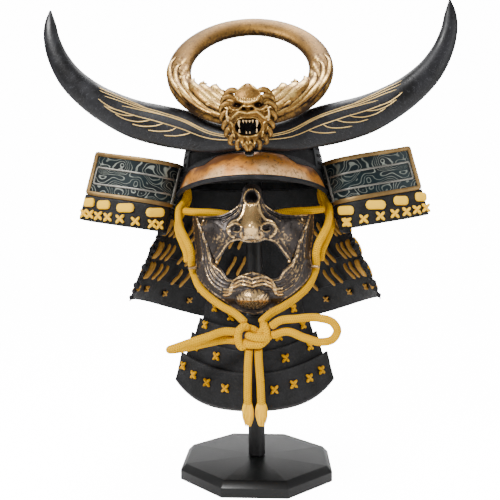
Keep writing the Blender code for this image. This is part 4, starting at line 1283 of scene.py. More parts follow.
@dataclass
class Bowl:
    """The bowl, the band round its foot and the strap strips at its sides."""

    half_width: float = 0.103
    half_length: float = 0.116
    foot_z: float = 0.428
    height: float = 0.120
    wall: float = 0.0025
    power: float = 2.4
    band_height: float = 0.043
    strip_z: tuple[float, float] = (0.447, 0.486)
    strip_deg: tuple[float, float] = (58.0, 72.0)
    slot_z: tuple[float, ...] = (0.453, 0.463, 0.473)
    slot_deg: tuple[float, float] = (61.0, 69.0)
    slot_height: float = 0.004

    def shell(self, offset: float, turn: Array, climb: Array, ribs: Array | float = 0.0) -> Array:
        """Points of the bowl moved in by an offset: a superellipse in plan and in height.

        Args:
            offset: How far inside the outer face.
            turn: Angle round the helmet, 0 at the front.
            climb: Angle up from the foot.
            ribs: How far to stand out again.

        Returns:
            The points, upright.
        """
        plan = np.cos(climb) ** (2 / self.power)
        high = np.sin(climb) ** (2 / self.power)
        x = (self.half_width - offset + ribs) * plan * np.sin(turn)
        y = -(self.half_length - offset + ribs) * plan * np.cos(turn)
        z = self.foot_z + (self.height - offset) * high + 0 * turn
        return np.stack([x, y, z], -1)

    def climb_at(self, z: Array | float) -> Array:
        """The climb angle at which the bowl's outside has this height."""
        share = np.clip((np.asarray(z) - self.foot_z) / self.height, 0, 1)
        return np.arcsin(share ** (self.power / 2))

    def build(self) -> None:
        """Builds the shell, the band and the strips."""
        turn = circle(160)[None, :]
        climb = np.linspace(0, np.pi / 2 * 0.985, 44)[:, None]
        outer, inner = self.shell(0.0, turn, climb), self.shell(self.wall, turn, climb)
        skins = tube(np.concatenate([inner[::-1], outer]))
        make_piece("bowl_shell", skins.lean(), BOWL_BLACK, ("bowl",))
        self.band()
        self.strips()

    def band(self) -> None:
        """The leather band, its lower edge a little rolled."""
        turn = circle(160)[None, :]
        z = np.linspace(self.foot_z, self.foot_z + self.band_height, 14)
        climb = self.climb_at(z)[:, None]
        roll = 0.0004 * bell(z, self.foot_z, 0.003)[:, None]
        outer = self.shell(-0.0024, turn, climb, roll)
        inner = self.shell(-0.0006, turn, climb)
        outer[0, :, 2] -= 0.0019
        inner[0, :, 2] -= 0.0019
        make_piece("brow_band_leather", wall(outer, inner, closed=True).lean(), LEATHER, ("brow_band",))

    def strips(self) -> None:
        """Strap ends that rise up each side of the bowl, painted grey where the side light falls, with three
        dark slots painted as the shade in their holes.
        """
        rows, dark = [], []
        for side in Side:
            z = np.linspace(*self.strip_z, 20)[:, None]
            turn = side.value * np.radians(np.linspace(*self.strip_deg, 10))[None, :]
            climb = self.climb_at(z)
            rows.append(wall(self.shell(-0.0040, turn, climb), self.shell(-0.0027, turn, climb)))
            for at in self.slot_z:
                slot_z = np.linspace(at, at + self.slot_height, 4)[:, None]
                slot_turn = side.value * np.radians(np.linspace(*self.slot_deg, 6))[None, :]
                edge = self.climb_at(slot_z)
                dark.append(wall(self.shell(-0.0043, slot_turn, edge), self.shell(-0.0041, slot_turn, edge)))
        make_piece("bowl_side_strips", joined(rows).lean(), SIDE_LIT_GREY)
        make_piece("bowl_side_slots", joined(dark).lean(), HOLLOW_SHADE)


@dataclass
class Peak:
    """The copper peak, black above a cusped line, and its rim; the rivet under the crest is a separate piece.
    """

    half_width: float = 0.112
    reach: float = 0.148
    sweep_deg: float = 72.5
    top_z: float = 0.4665
    edge_z: float = 0.431
    thick: float = 0.0025
    arch: float = 0.003
    top_drop: float = 0.034
    edge_drop: float = 0.0243
    rim: float = 0.0066
    cusps: Table = field(default_factory=lambda: [
        (0.0, 0.4658), (0.028, 0.4652), (0.044, 0.4628), (0.053, 0.4565), (0.062, 0.4502), (0.070, 0.4493),
        (0.078, 0.4482), (0.085, 0.4462), (0.091, 0.4400), (0.096, 0.4330), (0.101, 0.4250), (0.108, 0.4120),
    ])

    def edge(self, turn: Array) -> Array:
        """The front edge: an arc in plan that dips towards its ends."""
        return np.stack([self.half_width * np.sin(turn), -self.reach * np.cos(turn),
                         self.edge_z - self.edge_drop * (1 - np.cos(turn))], -1)

    def top(self, turn: Array, bowl: Bowl) -> Array:
        """The upper edge, on the band.

        Args:
            turn: Angle round the helmet, 0 at the front.
            bowl: The bowl that it lies on.

        Returns:
            The edge's points.
        """
        off = 0.0005 + 0.002 + 2 * GAP
        z = self.top_z - self.top_drop * (1 - np.cos(turn))
        share = np.clip((z - bowl.foot_z) / bowl.height, 0, 1)
        scale = (1 - share**bowl.power) ** (1 / bowl.power)
        turn = turn * 0.985
        return np.stack([(bowl.half_width * scale + off) * np.sin(turn),
                         -(bowl.half_length * scale + off) * np.cos(turn), z], -1)

    def face(self, turn: Array, share: Array, bowl: Bowl, lift: float = 0.0) -> Array:
        """A point on the peak's face, from its upper edge at 0 to its front edge at 1.

        Args:
            turn: Angle round the helmet, 0 at the front.
            share: 0 at the upper edge and 1 at the front edge.
            bowl: The bowl that it lies on.
            lift: How far off the face.

        Returns:
            The points.
        """
        edge, top = self.edge(turn), self.top(turn, bowl)
        reach = np.linalg.norm(edge - top, axis=-1, keepdims=True)
        edge = edge - (edge - top) / reach * (self.rim / 2 + 2 * GAP)
        rise = (self.arch * np.sin(np.pi * share) + lift)[..., None]
        return top + (edge - top) * share[..., None] + rise * PEAK_OUT

    def build(self, bowl: Bowl) -> None:
        """Builds the copper face, the black field above its cusps and the rim.

        Args:
            bowl: The bowl that it lies on.
        """
        sweep = math.radians(self.sweep_deg)
        turn, share = np.meshgrid(np.linspace(-sweep, sweep, 120), np.linspace(0, 1, 22))
        front = self.face(turn, share, bowl)
        normal = grid_normals(front)
        normal = normal * np.sign((normal * PEAK_OUT).sum(-1, keepdims=True))
        back = front - normal * self.thick
        back[0] = front[0] - np.array([0, 0, self.thick * 1.3])
        pale = share * 1.25 - 0.75 * (np.abs(turn) / sweep) ** 1.6 - 0.10
        make_piece("peak_copper", wall(front, back, pale).lean(), COPPER, ("peak",))
        self.field(bowl, sweep)
        path = self.edge(np.linspace(-sweep, sweep, 130))
        rim = tube(swept(path, self.rim / 2, self.rim / 2 * 0.98, UP, 16))
        make_piece("peak_rim_leather", rim.lean(), RIM, ("peak_rim",))

    def field(self, bowl: Bowl, sweep: float) -> None:
        """The black field: between the upper edge and the cusped line, found by height on each spoke.

        Args:
            bowl: The bowl that it lies on.
            sweep: Half the peak's angle round the helmet.
        """
        turn = np.linspace(-sweep, sweep, 200)
        shares = np.linspace(0, 1, 120)
        spokes = self.face(turn[None, :] + 0 * shares[:, None], shares[:, None] + 0 * turn[None, :], bowl)
        line = np.interp(np.abs(spokes[..., 0]), *np.array(self.cusps).T)
        reach = (spokes[..., 2] > line).sum(0) / len(shares)
        share = np.linspace(0, 1, 6)[:, None] * np.maximum(reach, 0.01)[None, :]
        across = turn[None, :] + 0 * share
        front, back = self.face(across, share, bowl, 0.0007), self.face(across, share, bowl, 0.0002)
        make_piece("peak_black_field", wall(front, back).lean(), LEATHER)


@dataclass
class Rivet:
    """A low round rivet with a silver crescent below it that is a painted reflection."""

    centre: tuple[float, float, float] = (0.0, -0.1262, 0.4636)
    radius: float = 0.006
    height: float = 0.0034
    tilt_deg: float = 37.0

    def build(self) -> None:
        """Builds the dome and the crescent of painted reflection round its lower side."""
        tilt = math.radians(self.tilt_deg)
        out = np.array([0.0, -math.sin(tilt), math.cos(tilt)])
        up = np.array([0.0, math.cos(tilt), math.sin(tilt)])
        axes = np.array([[[self.radius, 0, 0], up * self.radius, out * self.height]])
        dome = scattered(ball(14, 28), np.array([self.centre]), axes)
        make_piece("crest_rivet", dome.lean(), BOWL_BLACK, ("crest_stud",))
        turn = np.radians(np.linspace(200, 340, 24))[:, None]
        path = (np.array(self.centre) + np.cos(turn) * np.array([1.0, 0, 0]) * self.radius * 1.02
                + np.sin(turn) * up * self.radius * 1.02 - out * 0.0006)
        size = 0.0011 * rounded(24, 0.4)
        arc = tube(swept(path, size, size, out, 8))
        make_piece("crest_rivet_painted_glint", arc.lean(), SILVER)


# Crest


@dataclass
class Horns:
    """Two swept horns with raised gold inlay lines flowing out from the dragon's head."""

    half_span: float = 0.269
    root_z: float = 0.482
    rise: float = 0.173
    width: float = 0.054
    depth: float = 0.034
    root_y: float = -0.1245
    set_back: float = 0.0225
    inlay_radius: float = 0.00065
    rib_radius: float = 0.0006
    sections: Table = field(default_factory=lambda: [
        (0.001, 0.000, 0.48, 0.44), (0.186, 0.025, 0.76, 0.62), (0.331, 0.092, 0.98, 0.86),
        (0.454, 0.136, 1.00, 1.00), (0.571, 0.185, 0.95, 1.00), (0.680, 0.260, 0.85, 0.95),
        (0.781, 0.355, 0.74, 0.85), (0.872, 0.483, 0.63, 0.74), (0.931, 0.630, 0.51, 0.60),
        (0.961, 0.775, 0.40, 0.47), (0.967, 0.896, 0.28, 0.32), (0.965, 1.000, 0.05, 0.06),
    ])
    inlays: list[Table] = field(default_factory=lambda: [
        [(0.025, 0.10), (0.10, 0.28), (0.20, 0.48), (0.32, 0.62), (0.44, 0.68), (0.53, 0.60)],
        [(0.025, -0.02), (0.10, 0.16), (0.20, 0.38), (0.32, 0.53), (0.43, 0.56), (0.50, 0.44)],
        [(0.025, -0.20), (0.10, -0.14), (0.20, 0.00), (0.30, 0.10), (0.40, 0.08), (0.47, -0.06)],
        [(0.30, 0.06), (0.34, -0.14), (0.39, -0.24), (0.43, -0.20)],
        [(0.36, 0.10), (0.40, -0.08), (0.44, -0.14), (0.48, -0.08)],
        [(0.25, 0.04), (0.28, -0.16), (0.32, -0.30), (0.36, -0.34)],
        [(0.20, -0.02), (0.22, -0.22), (0.26, -0.36), (0.30, -0.42)],
        [(0.15, -0.08), (0.17, -0.28), (0.20, -0.42), (0.24, -0.50)],
        [(0.41, 0.09), (0.44, 0.02), (0.48, 0.04), (0.51, 0.12)],
        [(0.10, 0.28), (0.16, 0.36), (0.26, 0.46), (0.36, 0.46), (0.42, 0.36)],
        [(0.32, 0.62), (0.38, 0.74), (0.46, 0.80), (0.54, 0.76)],
    ])

    def spine(self, share: Array) -> tuple[Array, Array, Array]:
        """Centre line, half width and half depth at shares along the horn.

        Args:
            share: 0 at the root and 1 at the tip.

        Returns:
            The path and both half sizes.
        """
        rows = np.array(self.sections)
        table = np.column_stack([np.linspace(0, 1, len(rows)), rows])
        out, up, width, depth = smooth(table, share).T
        y = self.root_y + self.set_back * np.sin(np.pi * np.clip(out, 0, 0.98))
        path = np.stack([self.half_span * out, y, self.root_z + self.rise * up], -1)
        return path, width * self.width / 2, depth * self.depth / 2

    def body(self) -> Surface:
        """Oval rings from behind the head out to the tip, its first ring flat on the middle.

        Returns:
            The right horn, closed.
        """
        path, width, depth = self.spine(np.linspace(0, 1, 120))
        rings = swept(path, width, depth, BACK, 36, 0.94)
        rings[0, :, 0] = GAP / 2
        return tube(rings, ring_uv=np.linspace(0, 1, 120))

    def on_face(self, share: Array, across: Array, lift: float) -> Array:
        """A point on the front of a horn, across being -1 at its lower edge and 1 at its upper.

        Args:
            share: 0 at the root and 1 at the tip.
            across: -1 to 1 across the face.
            lift: How far off the face.

        Returns:
            The points.
        """
        path, width, depth = self.spine(share)
        tangent = unit(np.gradient(path, axis=0))
        high = unit(np.cross(tangent, BACK))
        high = high * np.sign(high[:, 2:3])
        deep = np.sqrt(np.clip(1 - across**2, 0.02, 1)) * depth
        return path + high * (across * width)[:, None] - np.array([0, 1.0, 0]) * (deep + lift)[:, None]

    def lines(self) -> Surface:
        """Raised inlay lines: each is a thin rod on the curve through its points.

        Returns:
            The right horn's lines.
        """
        parts = []
        for line in self.inlays:
            fine = curve_at(line, np.linspace(0, 1, 60))
            path = self.on_face(fine[:, 0], fine[:, 1], 0.0001)
            size = self.inlay_radius * rounded(60, 0.15)
            parts.append(tube(swept(path, size, size, BACK, 8)))
        return joined(parts)

    def ribs(self) -> Surface:
        """Fine oblique ribs near the root, on the horn's lower front.

        Returns:
            The right horn's ribs.
        """
        parts = []
        for start in np.linspace(0.10, 0.40, 22):
            t = np.linspace(0, 1, 9)
            path = self.on_face(start + 0.022 * t, -0.52 - 0.34 * t, 0.0)
            size = self.rib_radius * rounded(9, 0.3)
            parts.append(tube(swept(path, size, size, BACK, 6)))
        return joined(parts)

    def build(self) -> None:
        """Builds both horns with their lines and ribs."""
        body, lines, ribs = self.body(), self.lines(), self.ribs()
        for side in Side:
            turned = [s if side is Side.RIGHT else s.mirrored() for s in (body, lines, ribs)]
            names = (f"horn_{side.word}_shell", f"horn_{side.word}_inlay", f"horn_{side.word}_ribs")
            finishes = (HORN_DARK, INLAY, HORN_DARK)
            for surface, name, finish in zip(turned, names, finishes):
                stands_for = (f"horn_{side.word}",) if finish is HORN_DARK and "shell" in name else ()
                make_piece(name, surface.lean(), finish, stands_for)


@dataclass
class CrestRing:
    """The gold ring: smooth above, carved leaves at its sides, mane locks at its foot."""

    radius: float = 0.0976
    width: float = 0.0337
    depth: float = 0.0185
    lean_deg: float = 39.5
    centre_y: float = -0.075
    centre_z: float = 0.5848
    growth: float = 0.0205
    rib_radius: float = 0.0006
    inward: Table = field(default_factory=lambda: [
        (0, 0.62), (20, 0.66), (28, 0.72), (34, 0.62), (40, 1.0), (44, 0.85), (49, 0.26), (56, 0.48),
        (61, 0.05), (66, 0.0), (180, 0.0),
    ])
    leaves: list[tuple[float, Table]] = field(default_factory=lambda: [
        (7.4, [(9, -6), (18, -12), (28, -16), (35, -20), (40, -29), (43, -35)]),
        (8.2, [(11, 3), (22, -3), (33, -7), (43, -11), (50, -18), (55, -25)]),
        (7.8, [(13, 10), (26, 5), (38, 0), (49, -4), (57, -9), (62, -16)]),
        (6.2, [(16, 15), (30, 11), (44, 6), (57, 2), (67, -3), (73, -9)]),
        (4.2, [(24, 16), (40, 14), (55, 11), (69, 7), (81, 1), (88, -5)]),
        (3.4, [(42, 16), (58, 15), (72, 13), (85, 9), (97, 3)]),
        (3.4, [(20, -9), (25, -13), (28, -19), (26, -25), (22, -27)]),
        (3.2, [(31, -12), (36, -15), (38, -21), (36, -27)]),
        (3.0, [(43, -9), (47, -13), (49, -19), (47, -23)]),
        (3.4, [(12, -8), (17, -14), (18, -21), (15, -26)]),
        (3.0, [(30, 4), (37, 6), (42, 2), (41, -4), (36, -4)]),
        (3.0, [(20, 8), (27, 10), (31, 6), (29, 1), (25, 2)]),
        (2.8, [(46, 4), (53, 6), (58, 3), (57, -2), (53, -2)]),
    ])
    curls: Table = field(default_factory=lambda: [
        (26, -0.001, 0.0046), (38, -0.004, 0.0048), (50, -0.002, 0.0046),
        (62, 0.003, 0.0042), (24, -0.018, 0.0040), (34, -0.021, 0.0040),
    ])

    def directions(self) -> tuple[Array, Array]:
        """The way up along the leaning ring and the way out of its face."""
        sin, cos = math.sin(math.radians(self.lean_deg)), math.cos(math.radians(self.lean_deg))
        return np.array([0.0, sin, cos]), np.array([0.0, -cos, sin])

    def place(self, turn: Array, outward: Array, forward: Array) -> Array:
        """A point beside the ring's centre line; turn is measured from its lowest point.

        Args:
            turn: Angle round the ring, 0 at its foot.
            outward: Distance outside the centre line.
            forward: Distance in front of it.

        Returns:
            The points, upright.
        """
        up, face = self.directions()
        radial = np.sin(turn)[..., None] * np.array([1.0, 0, 0]) - np.cos(turn)[..., None] * up
        centre = np.array([0.0, self.centre_y, self.centre_z])
        return centre + (self.radius + outward)[..., None] * radial + forward[..., None] * face

    def carving(self, turn: Array, section: Array) -> tuple[Array, Array]:
        """Leaf flows on the front face.

        They are ridges of a slanting wave of turn and section, deep below 88 degrees from the foot
        and fading out above it along a pointed edge.

        Args:
            turn: Angle round the ring, 0 at its foot.
            section: Angle round the ring's section, 0 outwards.

        Returns:
            Height as a share and the finish's relief.
        """
        away = np.degrees(np.abs((turn + np.pi) % (2 * np.pi) - np.pi))
        outwards = np.cos(section)
        limit = 92 + 16 * np.abs(np.sin(1.5 * np.pi * (outwards + 1) / 2)) - 10 * np.abs(outwards)
        fade = np.clip((limit - away) / 7, 0, 1)
        wave = np.sin(np.radians(away) * 11 + outwards * 5.5 + 1.1 * np.sin(np.radians(away) * 5))
        second = np.sin(np.radians(away) * 23 - outwards * 7.0)
        front = np.clip(np.sin(section) + 0.45, 0, 1)
        cut = (np.abs(wave) ** 0.7 - 0.55) + 0.30 * (np.abs(second) - 0.5)
        # Off the carving, the ring is brighter on its front and darker on its inner and outer sides: painted
        # highlight and painted shade.
        painted_tube_light = 0.16 * np.clip(np.sin(section), 0, 1) - 0.42 * np.abs(outwards) ** 3 - 0.06
        # deep darkens the ring's foot, among the mane, as painted shade.
        deep = 0.55 * np.clip((66 - away) / 12, 0, 1)
        relief = cut * 0.9 * fade * front + painted_tube_light * (1 - fade * front) - deep * front
        return cut * fade * front, relief

    def body(self) -> Surface:
        """An oval torus that swells inwards at the mane.

        Returns:
            The ring, closed on itself.
        """
        turn = circle(460)[:, None]
        section = circle(40)[None, :]
        away = np.degrees(np.abs((turn + np.pi) % (2 * np.pi) - np.pi))
        grow = self.growth * np.clip(smooth(self.inward, away)[..., 0], 0, None) * 0.88
        height, relief = self.carving(turn, section)
        outward = self.width / 2 * np.cos(section) - grow * np.clip(-np.cos(section), 0, 1)
        forward = self.depth / 2 * np.sin(section) + 0.0017 * height - 0.0008
        rings = self.place(turn + 0 * section, outward, forward)
        return tube(rings, relief + 0 * outward, round_trip=True)

    def locks(self) -> Surface:
        """Mane leaves: tapered ridges along curves of turn (degrees) and reach (mm), each with a rib.

        Returns:
            All the leaves and ribs.
        """
        parts = []
        _, face = self.directions()
        for side in (-1.0, 1.0):
            for order, (wide, line) in enumerate(self.leaves):
                t = np.linspace(0, 1, 40)
                fine = curve_at(line, t)
                turn, out = side * np.radians(fine[:, 0]), fine[:, 1] / 1000
                lift = self.depth / 2 + 0.0002 + 0.0036 * np.sin(np.pi * t) + 0.0016 * t
                lift = lift + 0.0016 * (order % 3) + 0.0009 * np.sin(13 * t + order)
                swell = 0.35 + 0.65 * np.sin(np.pi * np.clip(t * 0.9 + 0.05, 0, 1))
                size = 1.30 * wide / 1000 * swell * (1 - t**4) + 0.0003
                path = self.place(turn, out, lift)
                ring = circle(14)
                # Each leaf is lighter on its front and darker at its sides and back: painted highlight and
                # painted shade, with some variation along it.
                wear_and_light = 0.75 * np.sin(ring)[None, :] ** 3 + 0.15 * np.sin(24 * t)[:, None] - 0.22
                wear_and_light = wear_and_light - 0.30 * (np.abs(np.cos(ring)) > 0.7)[None, :]
                parts.append(tube(swept(path, size, size * 0.70 + 0.0005, face, 14, 1.1), wear_and_light))
                rib_turn = turn + side * 0.06 * size / self.radius
                rib = self.place(rib_turn, out + 0.30 * size, lift + size * 0.62 + 0.0002)
                thin = self.rib_radius * rounded(40, 0.3)
                parts.append(tube(swept(rib, thin, thin, face, 6), np.full((40, 6), 0.35)))
        return joined(parts)

    def scrolls(self) -> Surface:
        """Round curls between the locks: rods that wind once round in the ring's plane.

        Returns:
            All the curls.
        """
        parts = []
        _, face = self.directions()
        for side in (-1.0, 1.0):
            for at, out, size in self.curls:
                wind = np.linspace(0, 2.6 * np.pi, 40)
                reach = size * (1 - 0.72 * wind / wind[-1])
                turn = np.radians(at) + reach * np.cos(wind + at) / self.radius
                forward = self.depth / 2 + 0.0004 + 0 * wind
                path = self.place(side * turn, out + reach * np.sin(wind + at), forward)
                rod_size = size * 0.21 * (1 - 0.4 * wind / wind[-1]) * rounded(40, 0.1)
                parts.append(tube(swept(path, rod_size, rod_size, face, 8), np.full((40, 8), 0.5)))
        return joined(parts)

    def build(self) -> None:
        """Builds the ring, its locks and its scrolls."""
        for name, surface, nodes, finish in (("crest_ring_body", self.body(), ("crest_ring",), RING_GOLD),
                                             ("crest_mane_locks", self.locks(), (), GOLD),
                                             ("crest_mane_scrolls", self.scrolls(), (), GOLD)):
            make_piece(name, surface.lean(), finish, nodes)


@dataclass
class DragonHead:
    """The relief dragon head: domed brow, hollow eyes, curled lip, teeth, tusks and beard."""

    height: float = 0.084
    top_z: float = 0.5485
    depth: float = 0.024
    back_y: float = -0.1503
    outline: Table = field(default_factory=lambda: [
        (0.00, 1.00), (0.12, 0.84), (0.22, 0.70), (0.34, 0.66), (0.45, 0.72), (0.56, 0.74), (0.68, 0.78),
        (0.80, 0.80), (0.92, 0.92), (1.00, 1.02),
    ])
    curled_locks: list[tuple[float, Table]] = field(default_factory=lambda: [
        (2.6, [(10, 534), (17, 538), (24, 537), (29, 531), (27, 526)]),
        (2.4, [(16, 528), (24, 531), (31, 528), (34, 521)]),
        (2.4, [(18, 520), (27, 522), (34, 517), (35, 510)]),
        (2.4, [(20, 510), (28, 511), (34, 505), (32, 499)]),
        (2.4, [(19, 500), (27, 499), (31, 493), (27, 488)]),
        (2.2, [(18, 492), (25, 490), (28, 483), (24, 479)]),
        (2.2, [(15, 484), (21, 480), (23, 473), (18, 471)]),
        (2.0, [(9, 478), (14, 473), (14, 466), (10, 466)]),
        (2.2, [(2, 477), (4, 471), (2, 465), (0.6, 462.5)]),
        (2.2, [(13, 518), (18, 524), (26, 525), (30, 519)]),
    ])
    upper_teeth: Table = field(default_factory=lambda: [
        (0.0020, 0.4998, 0.0032, 0.0015), (0.0058, 0.5002, 0.0036, 0.0015), (0.0112, 0.5002, 0.0092, 0.0021),
    ])
    lower_teeth: Table = field(default_factory=lambda: [
        (0.0022, 0.4838, 0.0026, 0.0012), (0.0110, 0.4850, 0.0050, 0.0017),
    ])
    tusk_radius: float = 0.0021

    def shape(self, x: Array, z: Array) -> tuple[Array, Array]:
        """Forward relief in metres over the back plate, and the finish's relief.

        Args:
            x: Distance from the middle.
            z: Height.

        Returns:
            Both heights: bell-shaped hills and hollows, and ridges along the brow, snout and lip.
        """
        u, mm = np.abs(x) * 1000, (z - 0.5) * 1000
        away = np.hypot(u / 31, (mm - 6.5) / 42)
        rise = 0.0150 * np.sqrt(np.clip(1.06 - away**2, 0, 1)) + 0.0006
        dome = np.sqrt(np.clip(1 - (u / 17.5) ** 2 - ((mm - 31) / 17) ** 2, 0, 1))
        rise = rise + 0.0045 * dome
        wrinkle = np.zeros_like(u)
        for line, width, height in (
            ([(0, 20), (6, 21), (11, 23), (16, 29), (23, 33), (28, 30)], 2.1, 0.0046),
            ([(2, 48), (7, 41), (15, 36), (16, 29), (11, 26)], 1.2, 0.0024),
            ([(14, 42), (19, 37), (22, 32), (28, 36)], 1.3, 0.0022),
            ([(0, 15.0), (6, 16), (11, 13), (17, 12), (22, 15), (25, 20)], 1.7, 0.0040),
            ([(0, 7.0), (6, 8.5), (12, 8.5), (17, 5), (21, 2), (26, 4), (28, 9)], 3.0, 0.0062),
            ([(0, 1.5), (6, 2.6), (12, 1), (15, -3), (17, -8)], 1.0, 0.0016),
            ([(17, -20), (20, -12), (20, -4), (26, -1), (29, 4)], 1.5, 0.0034),
            ([(0, -20.5), (6, -20), (12, -17.5), (16, -12), (17, -6)], 2.2, 0.0046),
            ([(19, -24), (22, -15), (26, -8), (30, -6)], 1.3, 0.0026),
            ([(8, -30), (13, -26), (19, -28)], 1.4, 0.0026),
            ([(0, -30), (3, -27), (7, -34)], 1.2, 0.0022),
            ([(20, 10), (25, 12), (29, 20), (26, 26)], 1.4, 0.0030),
            ([(24, -14), (28, -18), (26, -25)], 1.3, 0.0024),
        ):
            ridge = curve_ridge(u, mm, line, width)
            wrinkle = np.maximum(wrinkle, ridge)
            rise = rise + height * ridge
        eyes = bump(u, mm, (12.5, 19.0), (4.6, 2.0))
        nostril = bump(u, mm, (5.0, 13.2), (2.0, 1.2))
        mouth = np.exp(-(np.hypot(u / 15.8, (mm + 8.8) / 9.6)) ** 6)
        flame = np.sin(np.arctan2(mm - 4, u) * 15 + 2.2 * np.sin(away * 9))
        ruff = np.clip((away - 0.62) / 0.25, 0, 1) * (mm < 30)
        ball_eye = bump(u, mm, (12.0, 19.3), (2.2, 1.3))
        rise = (rise - 0.0060 * eyes - 0.0030 * nostril - 0.0120 * mouth + 0.0028 * ball_eye
                + 0.0016 * flame * ruff)
        frill = 0.5 + 0.5 * np.sin(u * 1.15 + mm * 0.25)
        low = np.clip((-20 - mm) / 6, 0, 1)
        rise = rise + 0.0018 * frill * low
        beads = (0.5 + 0.5 * np.cos(u * 2.2)) * np.exp(-((mm - 24.2 - 0.15 * u) / 1.0) ** 2) * (u < 22)
        rise = rise + 0.0010 * beads
        # The finish's relief lightens the wrinkles, dome, beads, frill and eyeballs, partly rubbing and
        # partly painted highlight, and darkens the eye hollows, mouth and nostrils, partly patina and partly
        # painted shade.
        finish = (0.75 * wrinkle + 0.45 * dome + 0.5 * beads + 0.5 * frill * low
                  - 1.5 * eyes - 2.2 * mouth - 1.2 * nostril + 0.6 * ball_eye + 0.35 * flame * ruff - 0.30)
        return np.maximum(rise, 0.0006), finish

    def build(self) -> None:
        """Builds the face, the mane, the teeth and tusks and the mouth."""
        turn = np.linspace(-np.pi, np.pi, 300, endpoint=False)
        reach = smooth(self.outline, np.abs(turn) / np.pi)[:, 0] * self.height / 2
        scallop = 1 - 0.10 * np.abs(np.sin(turn * 8.5)) * (np.abs(turn) > 0.75)
        middle = self.top_z - self.height / 2
        share = np.linspace(0.004, 1.0, 110)[:, None]
        x = share * reach * scallop * np.sin(turn)
        z = middle + share * reach * scallop * np.cos(turn)
        rise, finish = self.shape(x, z)
        edge = np.clip((1 - share) / 0.04, 0, 1)
        rise = rise * np.sqrt(1 - (1 - edge) ** 2)
        front = np.stack([x, self.back_y - np.minimum(rise, self.depth), z], -1)
        back = np.stack([x[-1], np.full(len(turn), self.back_y), z[-1]], -1)[None]
        rings = np.concatenate([back, front[::-1]])
        relief = np.concatenate([finish[-1:], finish[::-1]])
        make_piece("dragon_face", tube(rings, relief).lean(), GOLD, ("dragon_head",))
        make_piece("dragon_mane", self.locks().lean(), GOLD)
        self.teeth()
        self.mouth()

    def locks(self) -> Surface:
        """Tapered locks that curl out from both sides of the head, and the beard's points.

        Returns:
            All the locks.
        """
        parts = []
        for side in (-1.0, 1.0):
            for wide, line in self.curled_locks:
                t = np.linspace(0, 1, 26)
                fine = curve_at(np.array(line, float) / 1000, t)
                y = -0.1585 + 0.0045 * t - 0.0015 * np.sin(np.pi * t)
                path = np.stack([side * fine[:, 0], y, fine[:, 1]], -1)
                size = 1.50 * wide / 1000 * np.sin(np.pi * np.clip(0.18 + 0.82 * t, 0, 1)) ** 0.7 + 0.0002
                ring = circle(12)
                # Each lock is lighter on its front and back and darker at its sides: painted highlight and
                # painted shade.
                wear_and_light = 0.85 * np.abs(np.sin(ring))[None, :] ** 3 - 0.50 + 0 * t[:, None]
                parts.append(tube(swept(path, size, size * 0.55, BACK, 12, 1.2), wear_and_light))
        return joined(parts)

    def mouth(self) -> None:
        """The inside of the mouth: a shallow dark lens just over the hollow, painted shade."""
        x, z = np.meshgrid(np.linspace(-1, 1, 24), np.linspace(-1, 1, 24))
        wide, high = x * np.sqrt(1 - z**2 / 2), z * np.sqrt(1 - x**2 / 2)
        px, pz = wide * 0.0128, 0.4912 + high * 0.0074
        rise, _ = self.shape(px, pz)
        front = np.stack([px, self.back_y - rise - 0.0005, pz], -1)
        lens = wall(front, front + np.array([0, 0.0004, 0]))
        make_piece("dragon_mouth", lens.lean(), HOLLOW_SHADE)

    def teeth(self) -> None:
        """Tapered teeth along both lips and the tusks beside the snout."""
        parts = []
        for side in (-1.0, 1.0):
            tusk = [(side * 0.0235, -0.1600, 0.4985), (side * 0.0258, -0.1648, 0.5030),
                    (side * 0.0262, -0.1655, 0.5095), (side * 0.0245, -0.1630, 0.5165)]
            parts.append(rod(tusk, self.tusk_radius, BACK, 10, 0.75))
            for x, z, length, size in self.upper_teeth:
                top = (side * x, -0.1640 + 6 * x * x, z)
                low = (side * x * 0.95, -0.1622 + 6 * x * x, z - length)
                mid = (side * x * 1.03, -0.1640 + 6 * x * x, z - length / 2)
                parts.append(rod([top, mid, low], size, BACK, 8, 0.75))
            for x, z, length, size in self.lower_teeth:
                low = (side * x, -0.1610 + 6 * x * x, z)
                mid = (side * x, -0.1622 + 6 * x * x, z + length / 2)
                top = (side * x, -0.1618 + 6 * x * x, z + length)
                parts.append(rod([low, mid, top], size, BACK, 8, 0.75))
        make_piece("dragon_teeth", joined(parts).lean(), TUSK)


# Neck guard and turned-back plates


